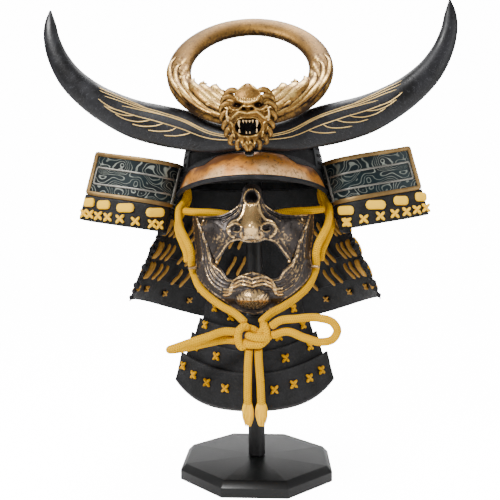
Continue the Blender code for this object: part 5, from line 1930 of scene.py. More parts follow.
@dataclass
class NeckGuard:
    """Five lames round the sides and back, laced inside and out."""

    lames: int = 5
    top_z: float = 0.431
    front_height: float = 0.170
    back_drop: float = 0.066
    half_width_top: float = 0.1062
    half_width: float = 0.184
    length_top: float = 0.1192
    length: float = 0.192
    sweep_deg: float = 100.0
    wall: float = 0.0022
    lap: float = 0.007
    pair_deg: float = 3.4
    knot_size: float = 0.0120
    knob_radii: tuple[float, float] = (0.0052, 0.0036)

    def edge(self, level: Array | float, turn: Array, offset: Array | float) -> Array:
        """A loop of the guard at a level share, 0 at its top and 1 at its lower edge.

        Args:
            level: 0 at the top and 1 at the lower edge.
            turn: Angle round the helmet, 0 at the back.
            offset: Distance outside the inner face.

        Returns:
            The loop's points.
        """
        half_width = self.half_width_top + (self.half_width - self.half_width_top) * level + offset
        length = self.length_top + (self.length - self.length_top) * level + offset
        front = math.cos(math.radians(self.sweep_deg))
        back = np.clip((np.cos(turn) - front) / (1 - front), 0, 1)
        z = self.top_z - self.front_height * level - self.back_drop * level * back**2
        return np.stack([half_width * np.sin(turn), length * np.cos(turn), z + 0 * turn], -1)

    def out_normal(self, level: Array, turn: Array) -> Array:
        """The outward normal, from small steps of level and turn.

        Args:
            level: 0 at the top and 1 at the lower edge.
            turn: Angle round the helmet, 0 at the back.

        Returns:
            Unit normals.
        """
        here = self.edge(level, turn, 0.0)
        down = self.edge(level + 0.01, turn, 0.0) - here
        round_it = self.edge(level, turn + 0.01, 0.0) - here
        normal = unit(np.cross(round_it, down))
        return normal * np.sign((normal * (here - np.array([0, 0, 0.33]))).sum(-1, keepdims=True))

    def build(self) -> None:
        """Builds the lames, their lacing and their edge knobs."""
        sweep = math.radians(self.sweep_deg)
        step = self.wall + 3 * GAP
        turn = np.linspace(-sweep, sweep, 170)[None, :]
        for k in range(self.lames):
            first = k / self.lames - (self.lap / self.front_height if k else 0.0)
            last = (k + 1) / self.lames
            level = np.linspace(first, last, 12)[:, None]
            lean = step * (1.0 if k else 0.0) * (last - level) / (last - first)
            t = (level - first) / (last - first)
            belly = 0.0006 * np.sin(np.pi * t) + 0.0009 * bell(t, 1, 0.10)
            ripple = 0.00025 * np.sin(turn * 120) * np.clip(1 - np.abs(t - 0.5) * 2, 0, 1)
            outer = self.edge(level, turn, self.wall + lean + belly * 0.5 + ripple - 0.0004)
            inner = self.edge(level, turn, lean)
            relief = 0.9 * bell(t, 1, 0.07) - 0.25 * bell(t, 0.85, 0.05) + 0 * turn
            lame = wall(outer, inner, relief)
            make_piece(f"neck_lame_{k + 1}_leather", lame.lean(), LAME, (f"neck_lame_{k + 1}",))
        self.lacing()
        self.knobs()

    def drops(self, turns: Array, high: float, low: float, offset: float, sag: float) -> Surface:
        """Flat laces that hang from one level to another and swing sideways on the way.

        Args:
            turns: Where each hangs, in radians.
            high: Level of its upper end.
            low: Level of its lower end.
            offset: How far from the guard's inner surface its middle lies.
            sag: How far its lower end swings, in radians.

        Returns:
            All the laces.
        """
        t = np.linspace(0, 1, 14)[None, :]
        turn = turns[:, None] + sag * np.sin(np.pi / 2 * t) ** 2 * np.sign(turns)[:, None]
        level = high + (low - high) * t + 0 * turn
        bulge = 0.0030 * np.sin(np.pi * t) * np.sign(offset)
        path = self.edge(level, turn, offset + bulge)
        radii = 0.0027 * np.clip(rounded(14, 0.15), 0.3, 1)[None, :] + 0 * turn
        return bundle(path, radii, np.array([0.25, 0.35, 0.2]), 8)

    def lacing(self) -> None:
        """Pairs of drooping laces inside, upright pairs outside and cross knots on the lowest lame; the
        inside laces and the knots take a darker lace silk as painted shade.
        """
        inside, outside, crosses = [], [], []
        pair = np.radians(self.pair_deg)
        for start in (0.29, 0.49, 0.665):
            base = np.radians(np.array([88.0, 70.0, 50.0, 30.0, 12.0]))
            base = np.concatenate([base[:-1], -base])
            for shift in (-pair, pair):
                inside.append(self.drops(base + shift, start, start + 0.150, -0.0040, math.radians(5.0)))
        spots = np.radians(np.linspace(-84, 84, 14))
        for k in range(self.lames - 1):
            line = (k + 1) / self.lames
            for shift in (-pair * 0.34, pair * 0.34):
                outside.append(self.drops(spots + shift, line - 0.135, line + 0.035, self.wall + 0.0042, 0.0))
        turns = np.radians(np.array([-92, -78, -60, -42, -24, -6, 6, 24, 42, 60, 78, 92.0]))
        level = np.full(len(turns), 0.895)
        normal = self.out_normal(level, turns)
        for inward, offset in ((-1.0, -0.0006), (1.0, self.wall + 0.0008)):
            place = self.edge(level, turns, offset)
            crosses.append(scattered(cross_knot(), place, frames(normal * inward, self.knot_size)))
        for name, parts, finish in (("neck_guard_inner_laces", inside, SHADED_LACE),
                                    ("neck_guard_outer_laces", outside, LACE),
                                    ("neck_guard_cross_knots", crosses, SHADED_LACE)):
            make_piece(name, joined(parts).lean(), finish)

    def knobs(self) -> None:
        """Round black lacing knobs down both front edges."""
        level = np.concatenate([np.linspace(0.40, 0.97, 12)] * 2)
        turn = np.radians(self.sweep_deg - 1.0) * np.repeat([-1.0, 1.0], 12)
        place = self.edge(level, turn, 0.0012)
        size = np.where(np.arange(24) % 3 == 0, *self.knob_radii)
        axes = np.eye(3)[None] * size[:, None, None]
        beads = scattered(ball(8, 12), place, axes)
        make_piece("neck_guard_edge_knobs", beads.lean(), LEATHER)


@dataclass
class TurnedPlates:
    """The engraved plates turned back beside the face, with the laced strips below them."""

    guard: NeckGuard
    reach: float = 0.125
    top_z: float = 0.452
    outer_rise: float = 0.025
    height: float = 0.096
    flare: float = 0.025
    wall: float = 0.004
    split: float = 0.62
    root_x: float = 0.108
    blend: float = 0.18
    edging_radius: float = 0.0031
    edging_flat: float = 0.42
    oval_drop: float = 0.735
    knot_drop: float = 0.900
    knot_size: float = 0.0150
    plan: Table = field(default_factory=lambda: [
        (0.00, 0.000, 0.000), (0.08, -0.062, 0.100), (0.18, -0.052, 0.250), (0.30, 0.060, 0.375),
        (0.48, 0.270, 0.420), (0.66, 0.500, 0.395), (0.84, 0.735, 0.335), (1.00, 0.905, 0.275),
    ])

    def place(self, station: Array, drop: Array) -> Array:
        """The plate's outer face: its plan, moved outwards and down by the drop share.

        Args:
            station: Share of the way along the plate, 0 at the neck guard.
            drop: Share of the way down, 0 at the upper edge.

        Returns:
            The right plate's points, upright.
        """
        plan = smooth(self.plan, station)
        level = np.clip((self.guard.top_z - self.top_z + self.height * drop) / self.guard.front_height, 0, 1)
        turn = np.full(np.shape(level), math.radians(self.guard.sweep_deg))
        root = self.guard.edge(level, turn, 2 * self.guard.wall + 3 * GAP)
        near = np.clip(1 - station / self.blend, 0, 1)
        x = self.root_x + self.flare * drop
        x = x + near * np.maximum(root[..., 0] - x, 0) + self.reach * plan[..., 0]
        y = root[..., 1] - 2 * GAP - self.reach * plan[..., 1]
        z = self.top_z + self.outer_rise * station - self.height * drop
        return np.stack([x, y, z], -1)

    def lifted(self, station: Array, drop: Array, lift: Array | float) -> Array:
        """A point in front of the face along its normal, from small steps of station and drop.

        Args:
            station: Share of the way along the plate, 0 at the neck guard.
            drop: Share of the way down, 0 at the upper edge.
            lift: Distance in front of the face.

        Returns:
            The points.
        """
        here = self.place(station, drop)
        along = self.place(station + 0.01, drop) - self.place(station - 0.01, drop)
        down = self.place(station, drop + 0.01) - self.place(station, drop - 0.01)
        return here + facing(unit(np.cross(along, down))) * np.asarray(lift)[..., None]

    def seat(self, station: Array, drop: Array, lift: float) -> tuple[Array, Array]:
        """Points in front of the face and the way out of it there."""
        here = self.lifted(station, drop, lift + 0 * station)
        return here, unit(self.lifted(station, drop, lift + 0.001 + 0 * station) - here)

    def sheet(self, low: float, high: float, start: float, end: float, lift: float, thick: float,
              rows: int = 40, columns: int = 110, swell: float = 0.0) -> Surface:
        """A patch of the plate between two drops and two stations, thickened backwards.

        Args:
            low: Drop of its upper edge.
            high: Drop of its lower edge.
            start: Station where it starts.
            end: Station where it ends.
            lift: Distance in front of the face.
            thick: Its thickness.
            rows: Points down it.
            columns: Points along it.
            swell: How far it stands out between its long edges.

        Returns:
            One closed surface.
        """
        drops, stations = np.linspace(low, high, rows), np.linspace(start, end, columns)
        drop, station = np.meshgrid(drops, stations, indexing="ij")
        side = np.clip(np.minimum(np.linspace(0, 1, rows), np.linspace(1, 0, rows)) / 0.12, 0, 1)
        raised = lift + swell * np.sqrt(1 - (1 - side) ** 2)[:, None] + 0 * station
        front = self.lifted(station, drop, raised)
        back = self.lifted(station, drop, lift - thick + 0 * station)
        return wall(front, back)

    def bar(self, corners: Table, radius: float, lift: float, flat: float, steps: int = 150) -> Surface:
        """A rounded bar on the face along a line of (station, drop) corners.

        Args:
            corners: Its (station, drop) corners.
            radius: Half its width.
            lift: Distance in front of the face.
            flat: Its depth as a share of its width.
            steps: Points along it.

        Returns:
            One closed surface.
        """
        rough = np.array(corners)
        run = np.concatenate([[0], np.cumsum(np.linalg.norm(np.diff(rough, axis=0) * [1.0, 0.8], axis=1))])
        where = np.linspace(0, run[-1], steps)
        station, drop = (np.interp(where, run, rough[:, i]) for i in (0, 1))
        path, ahead = self.seat(station, drop, lift)
        size = radius * rounded(steps, 0.02)
        return tube(swept(path, size, size * flat, ahead, 10, 0.8))

    def station_at(self, x: Array, drop: Array) -> Array:
        """The station where the face has this x, by looking along it.

        Args:
            x: Distances from the middle.
            drop: Share of the way down, 0 at the upper edge.

        Returns:
            A station for each x.
        """
        fine = np.linspace(0.25, 1.0, 200)
        faces = [self.place(fine, np.full(200, d))[:, 0] for d in drop]
        return np.array([np.interp(a, face, fine) for a, face in zip(x, faces)])

    def marks(self, x: Array, drop: Array, size: Array | float, shape: Surface, lift: float) -> Surface:
        """Copies a shape onto the face at distances from the middle."""
        return self.marks_at(self.station_at(x, drop), drop, size, shape, lift)

    def build(self) -> None:
        """Builds both plates; the lacing follows each side's own spacing."""
        spacing = {
            Side.LEFT: ([0.2297, 0.2075, 0.1756, 0.1351], [0.018, 0.0205, 0.026, 0.028],
                        [0.2373, 0.2278, 0.2150, 0.2008, 0.1830, 0.1614, 0.1398, 0.1267]),
            Side.RIGHT: ([0.1304, 0.1697, 0.2050, 0.2340], [0.026, 0.028, 0.022, 0.018],
                         [0.1242, 0.1335, 0.1535, 0.1757, 0.1956, 0.2123, 0.2271, 0.2407]),
        }
        for side in Side:
            ovals, widths, crosses = (np.array(v) for v in spacing[side])
            panel = self.sheet(0.003, self.split - 0.001, 0.02, 0.998, 0.0, self.wall * 0.9)
            strip = self.sheet(self.split + 0.0065, 0.996, 0.02, 0.998, -0.0006, self.wall * 0.8,
                               24, 110, 0.0008)
            radius, flat, low = self.edging_radius, self.edging_flat, self.split - 0.022
            edging = joined([
                self.bar([(0.985, 0.026), (0.14, 0.026)], radius, 0.0008, flat),
                self.bar([(0.985, low), (0.14, low)], radius, 0.0008, flat),
                self.bar([(0.978, 0.020), (0.978, self.split - 0.020)], radius, 0.0009, flat),
            ])
            line = self.bar([(0.20, 0.235), (0.925, 0.215), (0.935, 0.24), (0.935, 0.43), (0.925, 0.455),
                             (0.20, 0.450)], 0.0014, 0.0008, 0.6, 260)
            bead_drop = np.linspace(0.05, self.split - 0.05, 26)
            beads = joined([
                self.marks_at(np.full(26, at), bead_drop, 0.0016, ball(5, 8), 0.0010) for at in (0.17, 0.185)
            ])
            lace = joined([
                self.ovals(ovals, np.full(len(ovals), self.oval_drop), widths),
                self.marks(crosses, np.full(len(crosses), self.knot_drop), self.knot_size,
                           cross_knot(), 0.0008),
            ])
            pieces = (
                (f"turned_plate_{side.word}_panel", panel, PANEL, (f"turned_plate_{side.word}",)),
                (f"turned_strip_{side.word}_leather", strip, LEATHER, (f"turned_strip_{side.word}",)),
                (f"turned_plate_{side.word}_frame", edging, FRAME_GOLD, ()),
                (f"turned_plate_{side.word}_line", line, SILVER, ()),
                (f"turned_plate_{side.word}_beads", beads, SILVER, ()),
                (f"turned_strip_{side.word}_lacing", lace, FIBRE, ()),
            )
            for name, surface, finish, nodes in pieces:
                surface = surface if side is Side.RIGHT else surface.mirrored()
                make_piece(name, surface.lean(), finish, nodes, split_uv=finish is not PANEL)

    def marks_at(self, station: Array, drop: Array, size: float, shape: Surface, lift: float) -> Surface:
        """Copies a shape onto the face at stations."""
        here, ahead = self.seat(station, drop, lift)
        return scattered(shape, here, frames(ahead, size))

    def ovals(self, x: Array, drop: Array, widths: Array) -> Surface:
        """Flat oval laces: a pair of strands pulled through the strip.

        Args:
            x: Distances from the middle.
            drop: Share of the way down, 0 at the upper edge.
            widths: Their widths.

        Returns:
            All the laces.
        """
        here, ahead = self.seat(self.station_at(x, drop), drop, 0.0012)
        axes = frames(ahead, 1.0)
        scale = np.stack([widths / 2, np.full(len(x), 0.0064), np.full(len(x), 0.0034)], -1)
        return scattered(pill(), here, axes * scale[:, :, None])


# Mask and throat guard


@dataclass
class Mask:
    """The fierce mask: nose bridge, nose and cheeks in one piece, the jaw in another."""

    half_width: float = 0.084
    curve_width: float = 0.092
    curve_depth: float = 0.085
    centre_y: float = -0.045
    chin_z: float = 0.2495
    height: float = 0.1745
    nose: float = 0.034
    chin: float = 0.014
    thick: float = 0.0026
    seam: float = 0.0008
    rivet_radius: float = 0.0021
    peg_radius: float = 0.0025
    peg_length: float = 0.012
    mouth_top: Table = field(default_factory=lambda: [
        (0.00, 0.000, 0.556), (0.20, 0.110, 0.560), (0.37, 0.214, 0.574), (0.52, 0.310, 0.560),
        (0.70, 0.400, 0.521), (0.90, 0.530, 0.440), (1.00, 0.583, 0.407),
    ])
    upper_top: Table = field(default_factory=lambda: [
        (0.00, 0.000, 0.998), (0.08, 0.090, 0.988), (0.15, 0.143, 0.955), (0.21, 0.157, 0.903),
        (0.28, 0.192, 0.851), (0.37, 0.286, 0.811), (0.52, 0.452, 0.771), (0.70, 0.619, 0.762),
        (0.88, 0.786, 0.762), (1.00, 0.893, 0.765),
    ])
    jaw_inner: Table = field(default_factory=lambda: [
        (0.00, 0.000, 0.346), (0.11, 0.165, 0.324), (0.20, 0.300, 0.288), (0.27, 0.395, 0.292),
        (0.36, 0.478, 0.346), (0.46, 0.583, 0.404), (0.72, 0.712, 0.558), (1.00, 0.893, 0.765),
    ])
    jaw_outer: Table = field(default_factory=lambda: [
        (0.00, 0.000, 0.000), (0.10, 0.250, 0.040), (0.20, 0.464, 0.112), (0.30, 0.661, 0.172),
        (0.42, 0.905, 0.275), (0.52, 0.952, 0.352), (0.62, 0.929, 0.433), (0.75, 0.952, 0.522),
        (0.88, 0.988, 0.639), (1.00, 1.000, 0.771),
    ])

    def depth(self, x: Array, z: Array) -> Array:
        """The mask's front (-Y): a rounded face with bell-shaped nose, lips, cheeks and chin.

        Args:
            x: Distance from the middle.
            z: Height.

        Returns:
            The y of each point.
        """
        up = (z - self.chin_z) / self.height
        out = np.abs(x) / self.half_width
        curve = np.sqrt(np.clip(1 - (x / self.curve_width) ** 2, 0.02, 1))
        y = self.centre_y - self.curve_depth * curve
        y = y + 0.016 * np.clip(0.14 - up, 0, 1) / 0.14
        y = y + 0.010 * np.clip(up - 0.72, 0, 1) / 0.28
        nose = bump(out, up, (0.0, 0.665), (0.20, 0.085)) + 0.35 * bump(out, up, (0.0, 0.80), (0.14, 0.10))
        wings = bump(out, up, (0.24, 0.655), (0.12, 0.06))
        y = y - self.nose * nose - 0.012 * wings
        y = y - self.chin * bump(out, up, (0.0, 0.15), (0.28, 0.075))
        y = y - 0.009 * bump(out, up, (0.0, 0.285), (0.42, 0.06))
        return y - 0.006 * bump(out, up, (0.55, 0.62), (0.18, 0.14))

    def flat(self, table: Table, station: Array) -> Array:
        """Points of an outline at stations from -1 to 1, mirrored about the middle.

        Args:
            table: The outline's rows of station, share of the half width and share of the height.
            station: Where to read it.

        Returns:
            The (x, z) points.
        """
        row = smooth(table, np.abs(station))
        x = np.sign(station) * row[..., 0] * self.half_width
        return np.stack([x, self.chin_z + self.height * row[..., 1]], -1)

    def upper_detail(self, x: Array, z: Array, from_low: Array, from_top: Array) -> tuple[Array, Array]:
        """Height and tone of the upper mask, bright partly by rubbing and partly by painted highlight, with
        painted shade in its holes: nose ridge, nostril scrolls, cheek swells, edge lines.

        Args:
            x: Distance from the middle.
            z: Height.
            from_low: Distance from the lower outline.
            from_top: Distance from the upper outline.

        Returns:
            The height and the wear.
        """
        u, mm = np.abs(x) * 1000, z * 1000
        rise, wear_and_light = np.zeros_like(u), np.zeros_like(u)
        for line, width, height, gloss in (
            ([(0, 400), (0, 388), (0, 372), (0, 362)], 6.5, 0.0022, 0.55),
            ([(0, 360), (5, 355), (10, 354), (13, 359)], 2.0, 0.0020, 0.5),
            ([(9, 396), (11, 386), (17, 377), (25, 374), (30, 368), (29, 359), (22, 355)], 1.3, 0.0020, 0.75),
            ([(14, 396), (19, 386), (28, 380), (37, 374)], 1.1, 0.0012, 0.35),
            ([(36, 362), (44, 370), (54, 374), (66, 370)], 5.5, 0.0030, 0.22),
            ([(22, 352), (32, 350), (42, 342), (50, 330)], 3.6, 0.0016, 0.12),
        ):
            ridge = curve_ridge(u, mm, line, width)
            rise = rise + height * ridge
            wear_and_light = np.maximum(wear_and_light, gloss * ridge)
        wind = np.linspace(0, 2.3 * np.pi, 40)
        reach = 9.5 * (1 - 0.62 * wind / wind[-1])
        curl = np.stack([19.5 + 1.08 * reach * np.cos(wind - 0.6),
                         365.5 + 0.78 * reach * np.sin(wind - 0.6)], -1)
        scroll = np.exp(-(line_distance(u, mm, curl) / 1.05) ** 2)
        rise = rise + 0.0024 * scroll
        hole = bump(u, mm, (18.3, 365.2), (5.6, 2.9))
        rise = rise - 0.0040 * hole
        tab = bump(u, mm, (0.0, 406.5), (8.5, 9.5)) ** 0.7
        oval = np.hypot(u / 8.8, (mm - 405.5) / 10.0)
        ring = bell(oval, 1.12, 0.13)
        hollow = 1 / (1 + np.exp((oval - 0.86) / 0.05))
        bead = (0.6 + 0.4 * np.cos(np.arctan2(mm - 405.5, u) * 30)) * ring
        rise = rise + 0.0016 * bead - 0.0018 * hollow * tab
        cut = bell(from_top, 0.0026, 0.00055) + bell(from_top, 0.0052, 0.0005)
        away_tab = np.clip((u - 15) / 4, 0, 1)
        rise = rise - 0.0007 * cut * away_tab
        edge = bell(from_top, 0.0010, 0.0009) * away_tab
        lip = bell(from_low, 0.0024, 0.0014)
        rise = rise + 0.0010 * lip
        band = bell(from_low, 0.0075, 0.0020)
        rise = rise + 0.0010 * band
        fine = 0.5 + 0.5 * np.sin(u * 0.9 + mm * 0.35 + 2.0 * np.sin(mm * 0.11))
        wear_and_light = np.maximum.reduce([wear_and_light, 0.85 * scroll, 0.8 * bead, 0.50 * lip, 0.10 * band, 0.5 * edge])
        nose_gold = bump(u, mm, (0.0, 374.0), (13.0, 21.0))
        wear_and_light = wear_and_light + 0.8 * nose_gold + 0.16 * (fine - 0.5)
        # The nostril hole and the tab's oval hollow are darkened as painted shade.
        wear_and_light = wear_and_light - 1.6 * hole - 1.3 * hollow * tab - 0.45 * cut * away_tab
        wear_and_light = wear_and_light - 0.45 * bump(u, mm, (50, 372), (12, 9)) - 0.35 * bump(u, mm, (36, 384), (12, 7)) - 0.02
        wear_and_light = wear_and_light + 0.30 * bump(u, mm, (44, 352), (10, 8)) + 0.25 * bump(u, mm, (62, 376), (8, 9))
        return rise, wear_and_light

    def jaw_detail(self, x: Array, z: Array, from_in: Array, from_out: Array) -> tuple[Array, Array]:
        """Height and tone of the jaw, bright partly by rubbing and partly by painted highlight: nested cheek
        wrinkles, peaked folds over a round chin.

        Args:
            x: Distance from the middle.
            z: Height.
            from_in: Distance from the inner outline.
            from_out: Distance from the outer outline.

        Returns:
            The height and the wear.
        """
        u, mm = np.abs(x) * 1000, z * 1000
        rise, wear_and_light = np.zeros_like(u), np.zeros_like(u)
        base = [(16, 284), (40, 283), (57, 296), (66, 318), (70, 345), (73, 372)]
        for k, gloss in enumerate((0.20, 0.15, 0.11, 0.08)):
            line = [(a - 5.4 * k * (0.25 + 0.75 * i / 5), b + 5.6 * k * (1 - 0.75 * i / 5))
                    for i, (a, b) in enumerate(base)]
            ridge = curve_ridge(u, mm, line, 1.0)
            groove = curve_ridge(u, mm, [(a + 2.2, b - 1.4) for a, b in line], 1.2)
            rise = rise + 0.0011 * ridge - 0.0005 * groove
            wear_and_light = np.maximum(wear_and_light, gloss * ridge)
        for k in range(3):
            line = [(0, 289.5 + 5.0 * k), (6, 291.5 + 5.0 * k), (15, 293.0 + 4.6 * k),
                    (25, 288 + 4.2 * k), (31, 279 + 3.6 * k), (38, 278 + 4 * k)]
            ridge = curve_ridge(u, mm, line, 1.5)
            rise = rise + 0.0024 * ridge
            wear_and_light = np.maximum(wear_and_light, (0.75 - 0.12 * k) * ridge)
        boss = np.hypot(u / 23.0, (mm - 273) / 14.5)
        hill = np.sqrt(np.clip(1 - boss**2, 0, 1))
        rim = bell(boss, 1.08, 0.10)
        roll = bump(u, mm, (52, 312), (10, 22))
        rise = rise + 0.0022 * hill - 0.0003 * rim + 0.0022 * roll
        spur = bump(u, mm, (70, 322), (6, 4)) * 0.0022
        rise = rise + spur
        lip = bell(from_in, 0.0022, 0.0013)
        edge = bell(from_out, 0.0016, 0.0012)
        rise = rise + 0.0012 * lip + 0.0008 * edge
        fine = 0.5 + 0.5 * np.sin(u * 1.3 - mm * 0.5 + 2.0 * np.sin(mm * 0.6))
        wear_and_light = np.maximum.reduce([wear_and_light, (0.40 + 0.22 * fine) * hill, 0.40 * lip, 0.30 * edge])
        return rise, wear_and_light + 0.10 * (fine - 0.5) - 0.2 * rim + 0.02 + 0.16 * roll

    def sheet(self, lower: Table, upper: Table, rows: int, columns: int, jaw: bool) -> Surface:
        """A wall laid on the mask's front between two outlines, raised by its detail.

        Args:
            lower: Outline at its first row.
            upper: Outline at its last row.
            rows: Points between the outlines.
            columns: Points along them.
            jaw: Whether it takes the jaw's detail.

        Returns:
            One closed surface.
        """
        station = np.linspace(-1, 1, columns)
        share = np.linspace(0, 1, rows)[:, None, None]
        low, high = self.flat(lower, station), self.flat(upper, station)
        flat = low * (1 - share) + high * share
        x, z = flat[..., 0], flat[..., 1]
        gap = np.linalg.norm(high - low, axis=-1)[None, :]
        from_low, from_high = share[..., 0] * gap, (1 - share[..., 0]) * gap
        front = np.stack([x, self.depth(x, z), z], -1)
        normal = facing(grid_normals(front))
        if jaw:
            rise, wear_and_light = self.jaw_detail(x, z, from_low, from_high)
        else:
            rise, wear_and_light = self.upper_detail(x, z, from_low, from_high)
        margin = np.clip(np.minimum(from_low, from_high) / 0.0015, 0, 1)
        margin = np.minimum(margin, np.clip((1 - np.abs(station))[None, :] * 40, 0, 1))
        return wall(front + normal * (rise * margin)[..., None], front - normal * self.thick, wear_and_light)

    def rivets(self) -> Surface:
        """Small domed rivets on the cheeks and the jaw.

        Returns:
            The four rivets.
        """
        x = np.array([-0.066, 0.066, -0.048, 0.048])
        z = np.array([0.376, 0.376, 0.3215, 0.3215])
        place = np.stack([x, self.depth(x, z) - 0.0006, z], -1)
        step = 0.001
        across = np.stack([0 * x + 2 * step, self.depth(x + step, z) - self.depth(x - step, z), 0 * x], -1)
        high = np.stack([0 * x, self.depth(x, z + step) - self.depth(x, z - step), 0 * x + 2 * step], -1)
        axes = frames(facing(unit(np.cross(across, high))), self.rivet_radius)
        axes[:, 2] *= 0.7
        made = scattered(ball(7, 16), place, axes)
        made.relief = made.relief + 0.8
        return made

    def pegs(self, side: Side) -> Surface:
        """The short pin on the jaw's side that the cord hooks behind.

        Args:
            side: Which side it is on.

        Returns:
            One closed surface.
        """
        x, z = 0.93 * self.half_width, self.chin_z + 0.36 * self.height
        y = float(self.depth(np.array(x), np.array(z)))
        axis = unit(np.array([side.value * 0.86, -0.5, 0.0]))
        start = np.array([side.value * x, y, z]) + axis * 2 * GAP
        t = np.linspace(0, 1, 12)[:, None]
        path = start + axis * self.peg_length * t
        size = np.array([0.9, 1, 1, 0.98, 0.95, 0.92, 0.89, 0.86, 0.83, 0.80, 0.76, 0.5]) * self.peg_radius
        return tube(swept(path, size, size, UP, 16), 0.4 + np.zeros((12, 16)))

    def build(self) -> None:
        """Builds both halves, the rivets and the pegs, moved a little to the right."""
        spread = self.seam / self.half_width
        inner = [(s, out + (spread if s > 0.4 else 0.0), up - (spread if 0.4 < s < 0.5 else 0.0))
                 for s, out, up in self.jaw_inner]
        pieces = [
            ("mask_upper_face", self.sheet(self.mouth_top, self.upper_top, 110, 330, False), ("mask_upper",)),
            ("mask_jaw_face", self.sheet(inner, self.jaw_outer, 90, 420, True), ("mask_jaw",)),
            ("mask_rivets", self.rivets(), ()),
        ]
        pieces += [(f"cord_peg_{side.word}_pin", self.pegs(side), (f"cord_peg_{side.word}",))
                   for side in Side]
        for name, surface, nodes in pieces:
            make_piece(name, surface.lean(MASK_SHIFT), GUNMETAL, nodes)


@dataclass
class ThroatGuard:
    """Four leather lames below the chin, with yellow cross knots."""

    half_width: float = 0.1125
    top_z: float = 0.259
    height: float = 0.133
    front_y: float = -0.132
    side_y: float = -0.058
    knot_size: float = 0.0135
    wall: float = 0.0022
    lames: Table = field(default_factory=lambda: [
        (0.56, 0.66, 0.075, -0.20, 0.27, 0.20, -0.24), (0.69, 0.77, 0.20, 0.155, 0.49, 0.375, -0.158),
        (0.79, 0.88, 0.42, 0.304, 0.70, 0.59, -0.082), (0.92, 1.00, 0.63, 0.515, 1.00, 0.81, 0.0),
    ])
    knots: dict[int, list[tuple[float, float]]] = field(default_factory=lambda: {
        0: [(-0.0520, 0.2548), (-0.0280, 0.2461), (0.0548, 0.2526)],
        1: [(-0.0667, 0.2305), (-0.0359, 0.2171), (0.0342, 0.2196), (0.0677, 0.2292)],
        2: [(-0.0483, 0.1932), (0.0427, 0.1915), (0.0776, 0.2007), (-0.0800, 0.2000)],
        3: [(-0.0991, 0.1728), (-0.0822, 0.1644), (-0.0616, 0.1583), (-0.0363, 0.1548),
            (0.0271, 0.1535), (0.0537, 0.1569), (0.0745, 0.1615), (0.0930, 0.1678)],
    })

    def place(self, row: tuple[float, ...], station: Array, share: Array) -> Array:
        """A lame's front: a curved band between its two edges.

        Args:
            row: The lame's row of lames.
            station: -1 to 1 along it.
            share: 0 at its upper edge and 1 at its lower edge.

        Returns:
            The points.
        """
        top_width, low_width, top_mid, top_side, low_mid, low_side, forward = row
        width = self.half_width * (top_width + (low_width - top_width) * share)
        mid = self.top_z - self.height * (top_mid + (low_mid - top_mid) * share)
        side = self.top_z - self.height * (top_side + (low_side - top_side) * share)
        bend = station**2 * (1 - share) + station**4 * share
        depth = self.side_y - self.front_y
        y = self.front_y - depth * forward + depth * (1 + 0.3 * forward) * station**2 - 0.004 * share
        return np.stack([width * station, y, mid + (side - mid) * bend], -1)

    def build(self) -> None:
        """Builds the lames and their knots."""
        knots = []
        for k, row in enumerate(self.lames):
            station, share = np.meshgrid(np.linspace(-1, 1, 130), np.linspace(0, 1, 26))
            front = self.place(row, station, share)
            normal = facing(grid_normals(front))
            fold = 0.0007 * bell(share, 0.94, 0.035) + 0.0006 * bell(share, 0.05, 0.03)
            crease = 0.00035 * np.sin(station * 21 + 1.7 * np.sin(share * 9 + k)) * np.sin(np.pi * share)
            relief = 0.75 * bell(share, 0.97, 0.03) + 0.35 * bell(share, 0.03, 0.03)
            lame = wall(front + normal * (fold + crease)[..., None], front - normal * self.wall, relief)
            make_piece(f"throat_lame_{k + 1}_leather", lame.lean(), LEATHER, (f"throat_lame_{k + 1}",))
            knots.append(self.marks(row, self.knots[k]))
        make_piece("throat_cross_knots", joined(knots).lean(), LACE)

    def marks(self, row: tuple[float, ...], spots: list[tuple[float, float]]) -> Surface:
        """Cross knots at (x, z), each found on the lame by looking over a fine grid of it.

        Args:
            row: The lame's row of lames.
            spots: Where each knot is seen.

        Returns:
            All of the lame's knots.
        """
        station, share = np.meshgrid(np.linspace(-1, 1, 160), np.linspace(0.06, 0.94, 60), indexing="ij")
        here = self.place(row, station, share)
        found = []
        for x, z in spots:
            near = np.argmin(np.hypot(here[..., 0] - x, here[..., 2] - z))
            found.append((station.ravel()[near], share.ravel()[near]))
        at = np.array(found)
        centre = self.place(row, at[:, 0], at[:, 1])
        across = self.place(row, at[:, 0] + 0.01, at[:, 1]) - centre
        down = self.place(row, at[:, 0], at[:, 1] + 0.01) - centre
        normal = facing(unit(np.cross(across, down)))
        return scattered(cross_knot(), centre + normal * 0.0008, frames(normal, self.knot_size))


# Surroundings


